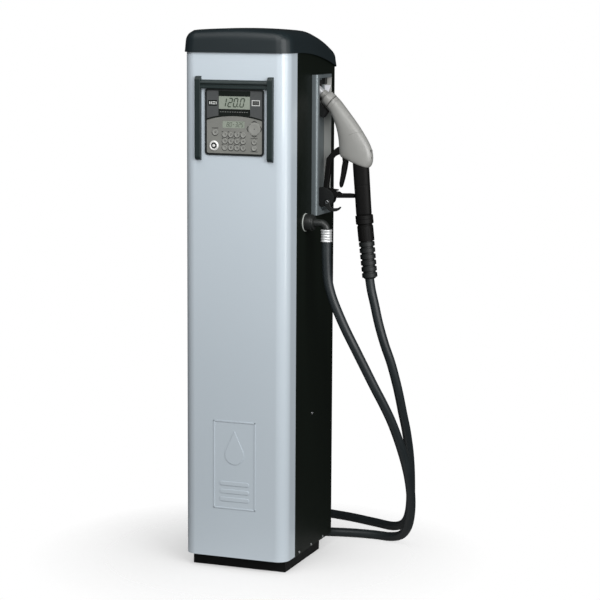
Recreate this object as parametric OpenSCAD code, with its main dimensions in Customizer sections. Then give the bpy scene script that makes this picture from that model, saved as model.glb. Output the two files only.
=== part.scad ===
// Cabinet fuel dispenser: a tall sheet-metal column with a control panel on its
// front, and a hose and nozzle on its right-hand side. Millimetres, +Z up, the
// origin on the floor at the middle of the cabinet, +X towards the nozzle side
// and the front facing -Y.

/* [Cabinet] */
// Width of the cabinet
cabinet_w = 326; // [322:1:330]
// Depth of the cabinet
cabinet_d = 396; // [390:1:400]
// Height of the front cover's top edge
cover_top = 1531; // [1520:1:1535]
// Height of the front cover's bottom edge
cover_bottom = 39; // [38:1:44]
// How far the front cover wraps back along each side
cover_wrap = 77.5; // [70:0.5:80]
// Corner radius of the front cover
cover_r = 36; // [30:1:40]
// Thickness of the cabinet's sheet metal
sheet = 2; // [1.5:0.5:2]

/* [Control panel] */
// Width of the control panel's frame
panel_w = 184; // [182:1:186]
// Height of the panel frame's lower edge
panel_bottom = 1236; // [1234:1:1238]
// Height of the panel frame's upper edge
panel_top = 1428; // [1426:1:1428]
// Pitch of the number keys across
key_pitch_x = 19.1; // [18.6:0.1:19.4]
// Pitch of the number keys down
key_pitch_z = 18.8; // [18.6:0.1:19]
// Diameter of a number key
key_d = 16; // [15:0.5:16.5]
// How far a key travels
key_travel = 0.8; // [0.5:0.1:0.8]

/* [Nozzle] */
// Distance of the nozzle's middle plane behind the cabinet's middle
nozzle_y = 75; // [72:1:78]
// Slope of the spout below horizontal, in degrees
spout_slope = 39.5; // [39:0.5:40]
// Outer diameter of the spout
spout_d = 23; // [21:0.5:24]
// Thickness of the nozzle's cover
nozzle_t = 46; // [42:1:48]

/* [Hose] */
// Outer diameter of the delivery hose
hose_d = 28; // [26:1:28]
// Height of the outlet fitting's axis
outlet_z = 1034; // [1030:1:1038]

/* [Hidden] */
$fn = 48;

half_w = cabinet_w / 2;
half_d = cabinet_d / 2;
front_y = -half_d;
// Side panels lie this far inside the front cover's outer face
side_inset = 1;
side_x = half_w - side_inset;
side_front_y = front_y + cover_wrap + 1;

// Square hole in the floor plates for pipe and cables
entry_low = [-20, 58];
entry_high = [40, 118];

// Depths of the control panel's layers, measured from the front cover's face
frame_y = front_y - 4;
fascia_y = front_y - 2.6;
fascia_t = 2;
key_flange_y = fascia_y + fascia_t + 0.1;
key_flange_t = 0.8;
board_y = key_flange_y + key_flange_t + key_travel + 1.2;
panel_mid_z = (panel_bottom + panel_top) / 2;
panel_h = panel_top - panel_bottom;
frame_wall = 5.5;
arc_r = 302;
arc_z = 1352 - arc_r;
key_x = [-30, -30 + key_pitch_x, -30 + 2 * key_pitch_x, -30 + 3 * key_pitch_x];
key_z = [1296, 1296 - key_pitch_z, 1296 - 2 * key_pitch_z];
key_gap = 0.3;
start_at = [-60, 1302];
start_d = 18;
reader_at = [-64, 1263];
reader_r = 15;
pad_at = [62, 1314];
pad_r = 20;
preset_x = 61.5;
preset_z = [1277, 1259];

// Nozzle axes
away = [cos(spout_slope), 0, -sin(spout_slope)];
neck_at = [183, nozzle_y, 1396];
grip_tilt = 6.3;
grip_top = [292, nozzle_y, 1196];
stub_at = [302.6, nozzle_y, 1052];
running = 0.05;

// Tray in the right side panel
tray_y = [4, 128];
tray_z = [1050, 1464];
tray_rim_x = 180;
tray_floor_x = 155;
pan_y = [16, 124];
pan_z = [1058, 1456];

// Outlet fitting
outlet_y = -47;
elbow_r = 18;
hose_x = 229;

// Bottom of the crimped ferrule, where the hose begins
ferrule_z = 980;

// Pins of the trigger, its hold-open latch and the nozzle switch's lever
trigger_pin = [243, 1205];
latch_pin = [199, 1121.5];
lever_pin = [192, 1086];

// Mains switch on the left side panel, and where the works stand inside
mains_at = [-88, 1115];
mains_shaft_r = 6;
pump_x = -80;
port_z = 150;
motor_yz = [-5, 140];
fan_shaft_r = 8;
meter_z = 560;
meter_h = 88;

// Outline of the nozzle's cover, from the neck along its back edge to the
// grip, and up the front edge again
cover_outline = [[213, 1400], [226, 1387], [255, 1351], [275, 1327], [296, 1298],
    [313, 1271], [324, 1252], [329.5, 1235], [330, 1217], [326, 1199], [319, 1190],
    [311, 1187.5], [303, 1190], [266, 1206], [239, 1216.5], [230, 1220.5], [225, 1227],
    [222.5, 1240], [223, 1267], [220, 1290], [210, 1323], [200, 1346], [190, 1363],
    [183, 1370]];

// Route of the hose: down from the outlet, along the floor behind the cabinet
// round one bend, and up to the nozzle
route = [[229, -47, 980], [229, -47, 950], [230, -47, 915], [234, -47, 868], [246, -47, 822],
    [265, -46, 775], [290, -42, 720], [318, -36, 664], [346, -25, 604], [371, -12, 548],
    [395, 6, 492], [415, 32, 430], [432, 70, 345], [440, 114, 256], [434, 162, 168],
    [413, 212, 90], [378, 258, 38], [332, 287, 17], [270, 300, 14], [190, 294, 14],
    [95, 272, 14], [-15, 250, 14], [-125, 240, 14], [-235, 242, 14], [-318, 279, 14],
    [-356, 352, 14], [-338, 436, 14], [-270, 494, 14], [-180, 511, 14], [-85, 512, 14],
    [20, 504, 14], [125, 482, 14], [225, 446, 14], [300, 402, 20], [350, 360, 46],
    [380, 318, 100], [398, 270, 185], [410, 218, 290], [414, 170, 380], [412, 136, 445],
    [405, 106, 525], [390, 86, 604], [371, 77, 664], [353, 75, 724], [338, 75, 786],
    [328, 75, 826], [322.3, 75, 860]];

// Points of an arc, for outlines drawn as polygons
function arc(c, r, a0, a1, n) = [for (i = [0:n])
    let (a = a0 + (a1 - a0) * i / n) [c[0] + r * cos(a), c[1] + r * sin(a)]];

// Unit vector
function unit(v) = v / norm(v);

// Side vectors carried along a run of tangents with no twist
function carry(t, s, i = 0) = i == len(t) ? []
    : let (next = unit(s - (s * t[i]) * t[i])) concat([next], carry(t, next, i + 1));

// A point between b and c on the smooth curve through a, b, c and d
function spline(a, b, c, d, t) = 0.5 * (2 * b + (c - a) * t
    + (2 * a - 5 * b + 4 * c - d) * t * t + (3 * b - a - 3 * c + d) * t * t * t);

// A rectangle with rounded corners, centred
module rounded(w, h, r) {
    square([w - 2 * r, h], center = true);
    square([w, h - 2 * r], center = true);
    for (x = [-1, 1], y = [-1, 1])
        translate([x * (w / 2 - r), y * (h / 2 - r)]) circle(r);
}

// Stands an outline drawn in X and Z up, and gives it a depth from y0 to y1
module stand(y0, y1) {
    translate([0, y1, 0]) rotate([90, 0, 0]) linear_extrude(y1 - y0) children();
}

// Stands an outline drawn in Y and Z up, and gives it a width from x0 to x1
module across(x0, x1) {
    translate([x0, 0, 0]) rotate([90, 0, 90]) linear_extrude(x1 - x0) children();
}

// A box between two corners
module block(a, b) {
    translate(a) cube(b - a);
}

// A cylinder along +Y between two depths
module peg(x, z, r, y0, y1) {
    translate([x, y1, z]) rotate([90, 0, 0]) cylinder(r = r, h = y1 - y0);
}

// Places children with +Z along the spout's axis, pointing away from the cabinet
module along_spout() {
    translate(neck_at) rotate([0, 90 + spout_slope, 0]) children();
}

// Places children with +Z down along the grip's axis
module along_grip() {
    translate(stub_at) rotate([0, 180 - grip_tilt, 0]) children();
}

// Plan of the front cover: a U with two round front corners
module cover_plan(inset) {
    w = half_w - inset;
    r = cover_r - inset;
    back = front_y + cover_wrap;
    for (s = [-1, 1]) translate([s * (w - r), front_y + inset + r]) circle(r, $fn = 96);
    translate([-(w - r), front_y + inset]) square([2 * (w - r), cover_wrap - inset]);
    translate([-w, front_y + inset + r]) square([2 * w, back - front_y - inset - r]);
}

// ---- cabinet ----

module base_plinth() {
    color([0.03, 0.04, 0.04]) difference() {
        block([-148, -160, 0], [148, 128, 36]);
        block([-145, -157, 4], [145, 125, 37]);
        for (x = [-110, 110], y = [-90, 90])
            translate([x, y, -1]) cylinder(d = 12, h = 6);
        block(concat(entry_low, -1), concat(entry_high, 5));
    }
}

module chassis() {
    post_t = 3;
    color([0.35, 0.36, 0.37]) {
        difference() {
            block([-150, -150, 36], [150, 190, 39]);
            block(concat(entry_low, 35), concat(entry_high, 40));
        }
        for (s = [-1, 1]) {
            for (leg = [[[130, 190], [159, 193]], [[156, 160], [159, 190]],
                        [[130, -112], [159, -109]], [[156, -109], [159, -97]]])
                block([s > 0 ? leg[0][0] : -leg[1][0], leg[0][1], 39],
                      [s > 0 ? leg[1][0] : -leg[0][0], leg[1][1], 1470]);
        }
        block([-156, -108, 1205], [156, -20, 1208]);
        block([-156, 160, 1205], [156, 189, 1208]);
    }
}

module front_cover() {
    color([0.78, 0.82, 0.85]) difference() {
        translate([0, 0, cover_bottom]) linear_extrude(cover_top - cover_bottom)
            difference() {
                cover_plan(0);
                cover_plan(sheet);
                translate([-half_w + sheet, front_y + cover_r])
                    square([cabinet_w - 2 * sheet, cover_wrap]);
            }
        stand(front_y - 1, front_y + sheet + 1)
            translate([0, panel_mid_z]) rounded(panel_w - 4, panel_h - 4, 8);
    }
}

// Side panel outline in Y and Z: the top follows the cap's sloping rim
module side_outline() {
    polygon([[side_front_y, 36], [half_d, 36], [half_d, 1492], [142, 1512],
             [43, 1528], [-51, 1534], [side_front_y, 1536]]);
}

module side_panel_right() {
    color([0.05, 0.07, 0.06]) difference() {
        across(side_x - sheet, side_x) side_outline();
        block([side_x - sheet - 1, pan_y[0], pan_z[0]], [side_x + 1, pan_y[1], pan_z[1]]);
        translate([side_x - sheet - 1, outlet_y, outlet_z]) rotate([0, 90, 0])
            cylinder(r = 15, h = sheet + 2);
    }
}

module side_panel_left() {
    color([0.05, 0.07, 0.06]) difference() {
        across(-side_x, -side_x + sheet) side_outline();
        translate([-side_x - 1, mains_at[0], mains_at[1]]) rotate([0, 90, 0])
            cylinder(r = 9, h = sheet + 2);
    }
}

module rear_panel() {
    color([0.05, 0.07, 0.06]) difference() {
        block([-159, half_d - sheet - 1, 39], [159, half_d - 1, 1486]);
        for (z = [240 : 22 : 372])
            block([-90, half_d - sheet - 2, z], [90, half_d, z + 9]);
        peg(pump_x, port_z, 26, half_d - sheet - 2, half_d + 1);
    }
}

// Plan of the cap or its hollow: round front corners, and near-square rear ones
module cap_plan(extra, rear_r) {
    w = half_w + extra;
    r = cover_r + extra;
    for (s = [-1, 1]) {
        translate([s * (w - r), front_y - extra + r]) circle(r, $fn = 96);
        translate([s * (w - rear_r), half_d + extra - rear_r]) circle(rear_r);
    }
    translate([-(w - r), front_y - extra]) square([2 * (w - r), r]);
    translate([-w, front_y - extra + r])
        square([2 * w, cabinet_d + 2 * extra - r - rear_r]);
    translate([-(w - rear_r), half_d]) square([2 * (w - rear_r), extra]);
}

// The cap: the overlap of its side, front and plan outlines, hollow below
module top_cap() {
    rim = half_w + 6;
    side = concat([[-204, 1531]], arc([-180, 1576], 24, 180, 90, 6),
        [[-60, 1600], [40, 1594], [110, 1580], [165, 1560]],
        arc([185, 1538], 18, 60, 0, 4), [[203, 1482], [142, 1502], [93, 1512],
        [43, 1520], [-51, 1527], [-132, 1531]]);
    brow = concat(arc([rim - 34, 1558], 34, 0, 60, 5), [[90, 1597], [40, 1600],
        [-40, 1600], [-90, 1597]], arc([-rim + 34, 1558], 34, 120, 180, 5),
        [[-rim, 1470], [rim, 1470]]);
    color([0.1, 0.13, 0.14]) difference() {
        intersection() {
            across(-rim, rim) polygon(side);
            stand(-210, 210) polygon(brow);
            translate([0, 0, 1470]) linear_extrude(140) cap_plan(6, 10);
        }
        intersection() {
            across(-rim, rim) polygon([[-199, 1460], [-199, 1572], [20, 1568], [120, 1548],
                [199, 1524], [199, 1460]]);
            translate([0, 0, 1460]) linear_extrude(112) cap_plan(0.5, 0.4);
        }
    }
}

module panel_screws() {
    color([0.4, 0.42, 0.43]) for (s = [-1, 1])
        for (at = [[-81, 44], [20, 43], [122, 42], [21, 449]])
            translate([s * (half_w - side_inset), at[0], at[1]]) rotate([0, s * 90, 0])
                cylinder(d1 = 9, d2 = 6, h = 2.4, $fn = 24);
}

// Raised plain decoration low on the cover: a rimmed panel, a drop and bars
module relief_plate() {
    t = 1.5;
    color([0.74, 0.78, 0.81]) stand(front_y - t, front_y) {
        difference() {
            translate([0, 320]) rounded(134, 266, 12);
            translate([0, 320]) rounded(126, 258, 8.5);
        }
        translate([0, 352]) circle(30, $fn = 64);
        polygon([[0, 424], [26.8, 364.5], [0, 340], [-26.8, 364.5]]);
        for (z = [216, 240, 264]) translate([0, z]) rounded(92, 12, 5);
    }
}

// ---- control panel ----

// One upright guard rail beside the panel, its ends curving back to the cover
module guard_rail(x0, x1) {
    proud = 13;
    low = 1220;
    tall = 243;
    mid_x = (x0 + x1) / 2;
    mid_z = low + tall / 2;
    color([0.05, 0.08, 0.08]) intersection() {
        block([x0, front_y - proud, low], [x1, front_y, low + tall]);
        translate([0, 0, low]) linear_extrude(tall)
            translate([mid_x, front_y]) rounded(x1 - x0, 2 * proud, 6);
        across(x0, x1) translate([front_y, mid_z]) rounded(2 * proud, tall, 12);
        stand(front_y - proud, front_y) translate([mid_x, mid_z])
            rounded(x1 - x0, tall, 7);
    }
}

module guard_rail_left() { guard_rail(-121, -104); }

module guard_rail_right() { guard_rail(104, 121); }

module display_hood() {
    color([0.06, 0.09, 0.09]) across(-104, 104)
        polygon(concat([[front_y, 1428], [front_y - 11, 1428], [front_y - 11, 1434],
            [front_y - 7, 1435], [front_y - 7, 1440]],
            arc([front_y - 1, 1442], 11, 180, 90, 8), [[front_y, 1453]]));
}

module control_housing() {
    color([0.03, 0.04, 0.04]) {
        stand(frame_y, front_y) difference() {
            translate([0, panel_mid_z]) rounded(panel_w, panel_h, 10);
            translate([0, panel_mid_z])
                rounded(panel_w - 2 * frame_wall, panel_h - 2 * frame_wall, 5);
        }
        stand(front_y, front_y + 42) difference() {
            translate([0, panel_mid_z]) rounded(panel_w - 6, panel_h - 6, 6);
            translate([0, panel_mid_z]) rounded(panel_w - 10, panel_h - 10, 4);
        }
        stand(front_y + 42, front_y + 44)
            translate([0, panel_mid_z]) rounded(panel_w - 6, panel_h - 6, 6);
    }
}

// Outline of the panel's opening, for the two fascias
module panel_opening() {
    translate([0, panel_mid_z])
        rounded(panel_w - 2 * frame_wall - 0.4, panel_h - 2 * frame_wall - 0.4, 4.8);
}

module display_fascia() {
    color([0.32, 0.34, 0.35]) stand(fascia_y, fascia_y + fascia_t) difference() {
        panel_opening();
        translate([0, arc_z]) circle(arc_r + 2, $fn = 180);
        translate([-100, 1200]) square([200, 138]);
        translate([0, 1388]) square([98.4, 37.4], center = true);
    }
}

module keypad_fascia() {
    color([0.5, 0.5, 0.48]) stand(fascia_y, fascia_y + fascia_t) difference() {
        intersection() {
            panel_opening();
            translate([0, arc_z]) circle(arc_r - 2, $fn = 180);
        }
        for (x = key_x, z = key_z) translate([x, z]) circle(d = key_d + 2 * key_gap);
        for (z = preset_z) translate([preset_x, z]) circle(d = key_d + 2 * key_gap);
        translate(start_at) circle(d = start_d + 2 * key_gap);
        translate(pad_at) rotate(22.5) circle(pad_r + key_gap, $fn = 8);
        translate(reader_at) circle(reader_r + 0.2);
        translate([-2.5, 1325.3]) square([69.4, 20.6], center = true);
    }
}

module display_modules() {
    color([0.6, 0.66, 0.58]) {
        stand(fascia_y + 0.6, board_y) translate([0, 1388]) square([98, 37], center = true);
        stand(fascia_y + 0.6, board_y) translate([-2.5, 1325.3])
            square([69, 20.2], center = true);
    }
}

module circuit_board() {
    color([0.05, 0.3, 0.15]) stand(board_y, board_y + 1.6)
        translate([0, panel_mid_z]) square([panel_w - 20, panel_h - 20], center = true);
}

module key_reader() {
    color([0.85, 0.85, 0.83]) translate([reader_at[0], board_y, reader_at[1]])
        rotate([90, 0, 0]) rotate_extrude() {
            polygon([[0, 0], [reader_r, 0], [reader_r, board_y - fascia_y],
                [reader_r - 3, board_y - fascia_y + 3], [reader_r - 6, board_y - fascia_y + 3],
                [reader_r - 8, board_y - fascia_y], [5, board_y - fascia_y],
                [4.4, board_y - fascia_y + 2.6], [0, board_y - fascia_y + 3]]);
        }
}

// A round key: a cap through the fascia, a flange behind it and a plunger
module round_key(at, d) {
    proud = 1.2;
    color([0.62, 0.62, 0.6]) translate([at[0], key_flange_y, at[1]]) rotate([90, 0, 0]) {
        rotate_extrude() polygon([[0, 0], [d / 2, 0], [d / 2, fascia_t + proud - 0.5],
            [d / 2 - 0.6, fascia_t + proud], [0, fascia_t + proud]]);
        translate([0, 0, -key_flange_t]) cylinder(d = d + 1.6, h = key_flange_t);
        translate([0, 0, -key_flange_t - 1]) cylinder(d = 5, h = 1);
    }
}

module number_key(row, column) {
    round_key([key_x[column - 1], key_z[row - 1]], key_d);
}

module navigation_pad() {
    color([0.62, 0.62, 0.6]) translate([pad_at[0], key_flange_y, pad_at[1]])
        rotate([90, 0, 0]) rotate(22.5) {
            cylinder(r = pad_r, h = fascia_t + 1.2, $fn = 8);
            translate([0, 0, -key_flange_t]) cylinder(r = pad_r + 1, h = key_flange_t, $fn = 8);
            translate([0, 0, -key_flange_t - 1]) cylinder(d = 6, h = 1);
        }
}

// ---- nozzle stowage ----

module nozzle_tray() {
    color([0.5, 0.54, 0.56]) difference() {
        union() {
            // rim, with its front and rear edges rolled over
            translate([0, 0, tray_z[0]]) linear_extrude(tray_z[1] - tray_z[0]) {
                translate([side_x, tray_y[0]]) square([8, tray_y[1] - tray_y[0]]);
                translate([side_x, tray_y[0] + 8]) square([tray_rim_x - side_x,
                    tray_y[1] - tray_y[0] - 16]);
                for (y = [tray_y[0] + 8, tray_y[1] - 8])
                    translate([tray_rim_x - 8, y]) circle(8);
                translate([side_x, tray_y[0]]) square([tray_rim_x - side_x - 8, 16]);
                translate([side_x, tray_y[1] - 16]) square([tray_rim_x - side_x - 8, 16]);
            }
            block([tray_floor_x, pan_y[0], pan_z[0]], [side_x, pan_y[1], pan_z[1]]);
        }
        block([tray_floor_x + 2, pan_y[0] + 2, pan_z[0] + 2],
              [tray_rim_x + 1, pan_y[1] - 2, pan_z[1] - 2]);
        along_spout() translate([0, 0, -60]) cylinder(r = 19, h = 60);
    }
}

// The boot that the spout rests in, its mouth plate, and the stop below it
module spout_boot() {
    y0 = nozzle_y - 24;
    color([0.03, 0.04, 0.04]) {
        difference() {
            union() {
                along_spout() translate([0, 0, -150]) cylinder(r = 18.9, h = 130);
                block([157, y0, 1386], [159.5, nozzle_y + 24, 1446]);
            }
            along_spout() translate([0, 0, -146]) cylinder(r = 15, h = 150);
            block([159.5, 0, 1300], [200, 130, 1500]);
        }
        stand(nozzle_y - 12, nozzle_y + 12) polygon([[157, 1386], [157, 1345], [161, 1345],
            [174, 1336], [186, 1353], [159.5, 1386]]);
    }
}

module drip_ledge() {
    ribs = 5;
    color([0.45, 0.48, 0.5]) for (i = [0 : ribs - 1])
        translate([0, 18.5 + i * 6.6, 0]) stand(0, i < ribs - 1 ? 6.6 : 5)
            polygon([[157, 1060], [178, 1060], [178, i % 2 == 0 ? 1064 : 1062],
                     [157, i % 2 == 0 ? 1090 : 1088]]);
}

module nozzle_cradle() {
    cheek = [[157, 1078], [157, 1126], [175, 1130], [200, 1120], [211, 1104], [208, 1086],
             [192, 1074], [172, 1070]];
    color([0.03, 0.04, 0.04]) {
        for (y = [nozzle_y - 13.5, nozzle_y + 8.5]) stand(y, y + 5) polygon(cheek);
        block([157, nozzle_y - 8.5, 1078], [166, nozzle_y + 8.5, 1118]);
        peg(lever_pin[0], lever_pin[1], 3, nozzle_y - 20, nozzle_y - 13.5);
    }
}

module switch_lever() {
    color([0.04, 0.05, 0.05]) stand(nozzle_y - 18.8, nozzle_y - 13.8) difference() {
        union() {
            translate(lever_pin) circle(9);
            polygon(concat([[184, 1082]], [[188, 1066], [198, 1060], [211, 1057.5],
                [222, 1059], [230, 1063], [236.5, 1072], [233, 1073.5], [225, 1069],
                [211, 1068], [203, 1071], [200, 1080]]));
        }
        translate(lever_pin) circle(3 + running);
    }
}

// ---- hose and its fittings ----

module outlet_ring() {
    color([0.75, 0.77, 0.75]) translate([side_x, outlet_y, outlet_z]) rotate([0, 90, 0])
        difference() {
            cylinder(r = 27, h = 2.5);
            translate([0, 0, -1]) cylinder(r = 15, h = 5);
        }
}

module bulkhead_fitting() {
    inner_x = 150;
    reach = side_x + 2.5 - inner_x;
    color([0.04, 0.05, 0.05]) translate([inner_x, outlet_y, outlet_z]) rotate([0, 90, 0]) {
        cylinder(r = 14.9, h = reach);
        translate([0, 0, reach]) cylinder(r = 25, h = 20);
        translate([0, 0, reach + 20]) cylinder(r = 21, h = 6.5);
    }
}

module outlet_elbow() {
    start_x = side_x + 29;
    color([0.05, 0.06, 0.06]) {
        translate([start_x, outlet_y, outlet_z]) rotate([0, 90, 0])
            cylinder(r = 11, h = hose_x - elbow_r - start_x);
        translate([hose_x - elbow_r, outlet_y, outlet_z - elbow_r]) rotate([90, 0, 0])
            rotate_extrude(angle = 90) translate([elbow_r, 0]) circle(11);
    }
}

module hose_ferrule() {
    h = outlet_z - elbow_r - ferrule_z;
    color([0.78, 0.79, 0.8]) translate([hose_x, outlet_y, ferrule_z]) rotate_extrude()
        polygon([[0, 0], [17, 0], [17, 4], [16, 6], [16.6, 12], [15.6, 14], [16.6, 22],
                 [15.6, 24], [16.4, 31], [17, 33], [17, h], [0, h]]);
}

// The hose: one tube swept along its route, with two rings to each stretch
module delivery_hose() {
    sides = 10;
    last = len(route) - 1;
    // about 80 rings: midway points only where the route bends off the floor
    track = [for (i = [0 : last - 1], k = [0 : 1])
        if (k == 0 || i < 19 || i > 32)
            let (a = route[max(i - 1, 0)], b = route[i], c = route[i + 1],
                 d = route[min(i + 2, last)]) spline(a, b, c, d, k / 2)];
    line = concat(track, [route[last]]);
    n = len(line);
    tangent = [for (i = [0 : n - 1]) i == 0 ? [0, 0, -1]
        : i == n - 1 ? [-sin(grip_tilt), 0, cos(grip_tilt)]
        : unit(line[i + 1] - line[i - 1])];
    side = carry(tangent, [1, 0, 0]);
    points = [for (i = [0 : n - 1], k = [0 : sides - 1])
        let (a = 360 * k / sides, u = side[i], v = cross(tangent[i], side[i]))
        line[i] + hose_d / 2 * (cos(a) * u + sin(a) * v)];
    walls = [for (i = [0 : n - 2], k = [0 : sides - 1])
        let (j = (k + 1) % sides)
        [i * sides + k, i * sides + j, (i + 1) * sides + j, (i + 1) * sides + k]];
    ends = [[for (k = [sides - 1 : -1 : 0]) k], [for (k = [0 : sides - 1]) (n - 1) * sides + k]];
    color([0.07, 0.09, 0.1]) polyhedron(points, concat(walls, ends));
}

// ---- nozzle ----

module spout() {
    color([0.72, 0.73, 0.75]) along_spout() translate([0, 0, -126]) difference() {
        cylinder(d = spout_d, h = 107.5);
        translate([0, 0, -1]) cylinder(d = spout_d - 4, h = 100);
    }
}

module spout_collar() {
    color([0.66, 0.67, 0.67]) along_spout() rotate_extrude()
        polygon([[0, -18.5], [13, -18.5], [14, -17.5], [14, -7], [17.5, -6], [17.5, -3],
                 [22, -1], [22.5, 17], [21.4, 19.4], [0, 19.4]]);
}

// Outline of the nozzle's cover, set in by a distance and cut square at the neck
module cover_shape(inset) {
    offset(delta = -inset) polygon(cover_outline);
}

module nozzle_cover() {
    half = nozzle_t / 2;
    color([0.72, 0.72, 0.7]) difference() {
        union() {
            stand(nozzle_y - half + 7, nozzle_y + half - 7) cover_shape(0);
            stand(nozzle_y - half + 2.5, nozzle_y + half - 2.5) cover_shape(2.5);
            stand(nozzle_y - half, nozzle_y + half) cover_shape(7);
        }
        along_spout() translate([0, 0, -10]) cylinder(r = 60, h = 29.5);
    }
}

module grip() {
    color([0.06, 0.06, 0.06]) {
        difference() {
            hull() for (end = [[grip_top, 24.5], [stub_at, 23.5]])
                for (s = [-1, 1]) translate(end[0] + [s * (end[1] - 17), 0, 0])
                    rotate([0, 180 - grip_tilt, 0]) cylinder(r = 17, h = 1, $fn = 32);
            stand(nozzle_y - 30, nozzle_y + 30) polygon(cover_outline);
        }
        along_grip() cylinder(r = 13, h = 20);
    }
}

module trigger_guard() {
    t = 7;
    color([0.05, 0.05, 0.05]) {
        stand(nozzle_y - t, nozzle_y + t) difference() {
            polygon([[226, 1253], [211, 1244], [184, 1215], [179, 1169], [174, 1124],
                [177, 1108], [190, 1100], [222, 1098], [272, 1100], [271.5, 1112],
                [257, 1113], [231, 1112], [224, 1117], [196, 1117], [190, 1124],
                [190, 1132], [194, 1162], [199, 1202], [211, 1222], [226, 1227]]);
            polygon(cover_outline);
        }
        // two lugs that carry the trigger's pivot pin
        for (y = [nozzle_y - 12, nozzle_y + 9.5]) stand(y, y + 2.5) difference() {
            union() {
                translate(trigger_pin) circle(6);
                polygon([[236, 1205], [250, 1205], [252, 1216], [236, 1222]]);
            }
            polygon(cover_outline);
        }
        peg(trigger_pin[0], trigger_pin[1], 2.5, nozzle_y - 12, nozzle_y + 12);
        // pin of the hold-open latch
        peg(latch_pin[0], latch_pin[1], 1.6, nozzle_y - 8.2, nozzle_y + 8.2);
        for (y = [nozzle_y - 8.2, nozzle_y + 7]) stand(y, y + 1.2)
            polygon([[192, 1112], [206, 1112], [204, 1125], [194, 1125]]);
    }
}

module trigger() {
    color([0.05, 0.05, 0.05]) stand(nozzle_y - 9, nozzle_y + 9) difference() {
        union() {
            translate(trigger_pin) circle(7);
            polygon([[237, 1209], [234, 1196], [231, 1171], [226, 1143], [227, 1134],
                [231, 1129], [234, 1134], [239, 1150], [246, 1179], [250, 1204]]);
        }
        translate(trigger_pin) circle(2.5 + running);
    }
}

module hold_latch() {
    color([0.08, 0.08, 0.08]) stand(nozzle_y - 6.8, nozzle_y + 6.8) difference() {
        union() {
            translate(latch_pin) circle(3.4);
            polygon([[199, 1118.2], [217, 1118.2], [222, 1120.5], [220, 1123.5],
                     [199, 1124.8]]);
        }
        translate(latch_pin) circle(1.6 + running);
    }
}

module hose_swivel() {
    color([0.05, 0.05, 0.05]) along_grip() difference() {
        union() {
            translate([0, 0, 2.2]) cylinder(r = 26.5, h = 26.4);
            translate([0, 0, 28.6]) cylinder(r = 22, h = 5);
            translate([0, 0, 33.6]) cylinder(r = 24, h = 46);
        }
        translate([0, 0, 1]) cylinder(r = 13 + running, h = 20);
    }
}

module bend_restrictor() {
    ribs = 6;
    pitch = 18.6;
    color([0.07, 0.08, 0.08]) along_grip() translate([0, 0, 79.6]) rotate_extrude()
        polygon(concat([[0, 0], [19, 0]],
            [for (i = [0 : ribs - 1]) each [[19, 3 + i * pitch], [23.5, 4.5 + i * pitch],
                [23.5, 13.5 + i * pitch], [19, 15 + i * pitch]]],
            [[19, ribs * pitch - 2], [15, ribs * pitch + 1.6], [0, ribs * pitch + 1.6]]));
}

// ---- mains switch on the left side ----

module mains_switch_plate() {
    color([0.05, 0.06, 0.06]) translate([-side_x, mains_at[0], mains_at[1]]) {
        rotate([0, -90, 0]) difference() {
            cylinder(r = 30, h = 4);
            translate([0, 0, -1]) cylinder(r = mains_shaft_r, h = 6);
        }
    }
}

module mains_switch_knob() {
    color([0.04, 0.05, 0.05]) translate([-side_x, mains_at[0], mains_at[1]]) rotate([0, -90, 0]) {
        translate([0, 0, -16]) cylinder(r = mains_shaft_r - running, h = 20.4);
        translate([0, 0, 4.4]) cylinder(r1 = 28, r2 = 24, h = 13);
        translate([-26, -6, 17.4]) cube([52, 12, 10]);
    }
}

// ---- works inside the cabinet ----

module pump_unit() {
    color([0.3, 0.32, 0.34]) difference() {
        union() {
            block([-130, -70, 39], [-30, 60, 52]);
            block([-125, -60, 52], [-35, 50, 220]);
            translate([pump_x, 50, port_z]) rotate([-90, 0, 0]) cylinder(r = 40, h = 60);
            translate([pump_x, 110, port_z]) rotate([-90, 0, 0]) cylinder(r = 24, h = 93.5);
        }
        translate([pump_x, 180, port_z]) rotate([-90, 0, 0]) cylinder(r = 16.6, h = 24);
    }
}

module pump_motor() {
    color([0.2, 0.25, 0.3]) {
        difference() {
            translate([-34.9, motor_yz[0], motor_yz[1]]) rotate([0, 90, 0]) cylinder(r = 62, h = 120);
            translate([60, motor_yz[0], motor_yz[1]]) rotate([0, 90, 0])
                cylinder(r = fan_shaft_r + running, h = 30);
        }
        block([-20, -55, 39], [70, 45, 78.9]);
    }
}

module motor_fan() {
    color([0.5, 0.5, 0.5]) translate([86, motor_yz[0], motor_yz[1]]) rotate([0, 90, 0]) {
        translate([0, 0, -20]) cylinder(r = fan_shaft_r, h = 24);
        translate([0, 0, 4]) cylinder(r = 16, h = 14);
        for (a = [0 : 45 : 315]) rotate(a) translate([14, -1.5, 4]) cube([38, 3, 14]);
    }
}

module flow_meter() {
    color([0.6, 0.61, 0.62]) {
        translate([pump_x, outlet_y, meter_z]) cylinder(r = 58, h = 70);
        translate([pump_x, outlet_y, meter_z + 70]) cylinder(r = 40, h = meter_h - 70);
    }
}

// Riser from the pump to the meter, and from the meter to the outlet fitting
module pipework() {
    r = 12;
    color([0.45, 0.46, 0.48]) {
        translate([pump_x, outlet_y, 220]) cylinder(r = r, h = meter_z - 220);
        translate([pump_x, outlet_y, meter_z + meter_h])
            cylinder(r = r, h = outlet_z - meter_z - meter_h);
        translate([pump_x, outlet_y, outlet_z]) sphere(r);
        translate([pump_x, outlet_y, outlet_z]) rotate([0, 90, 0])
            cylinder(r = r, h = 150 - pump_x);
    }
}

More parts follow.
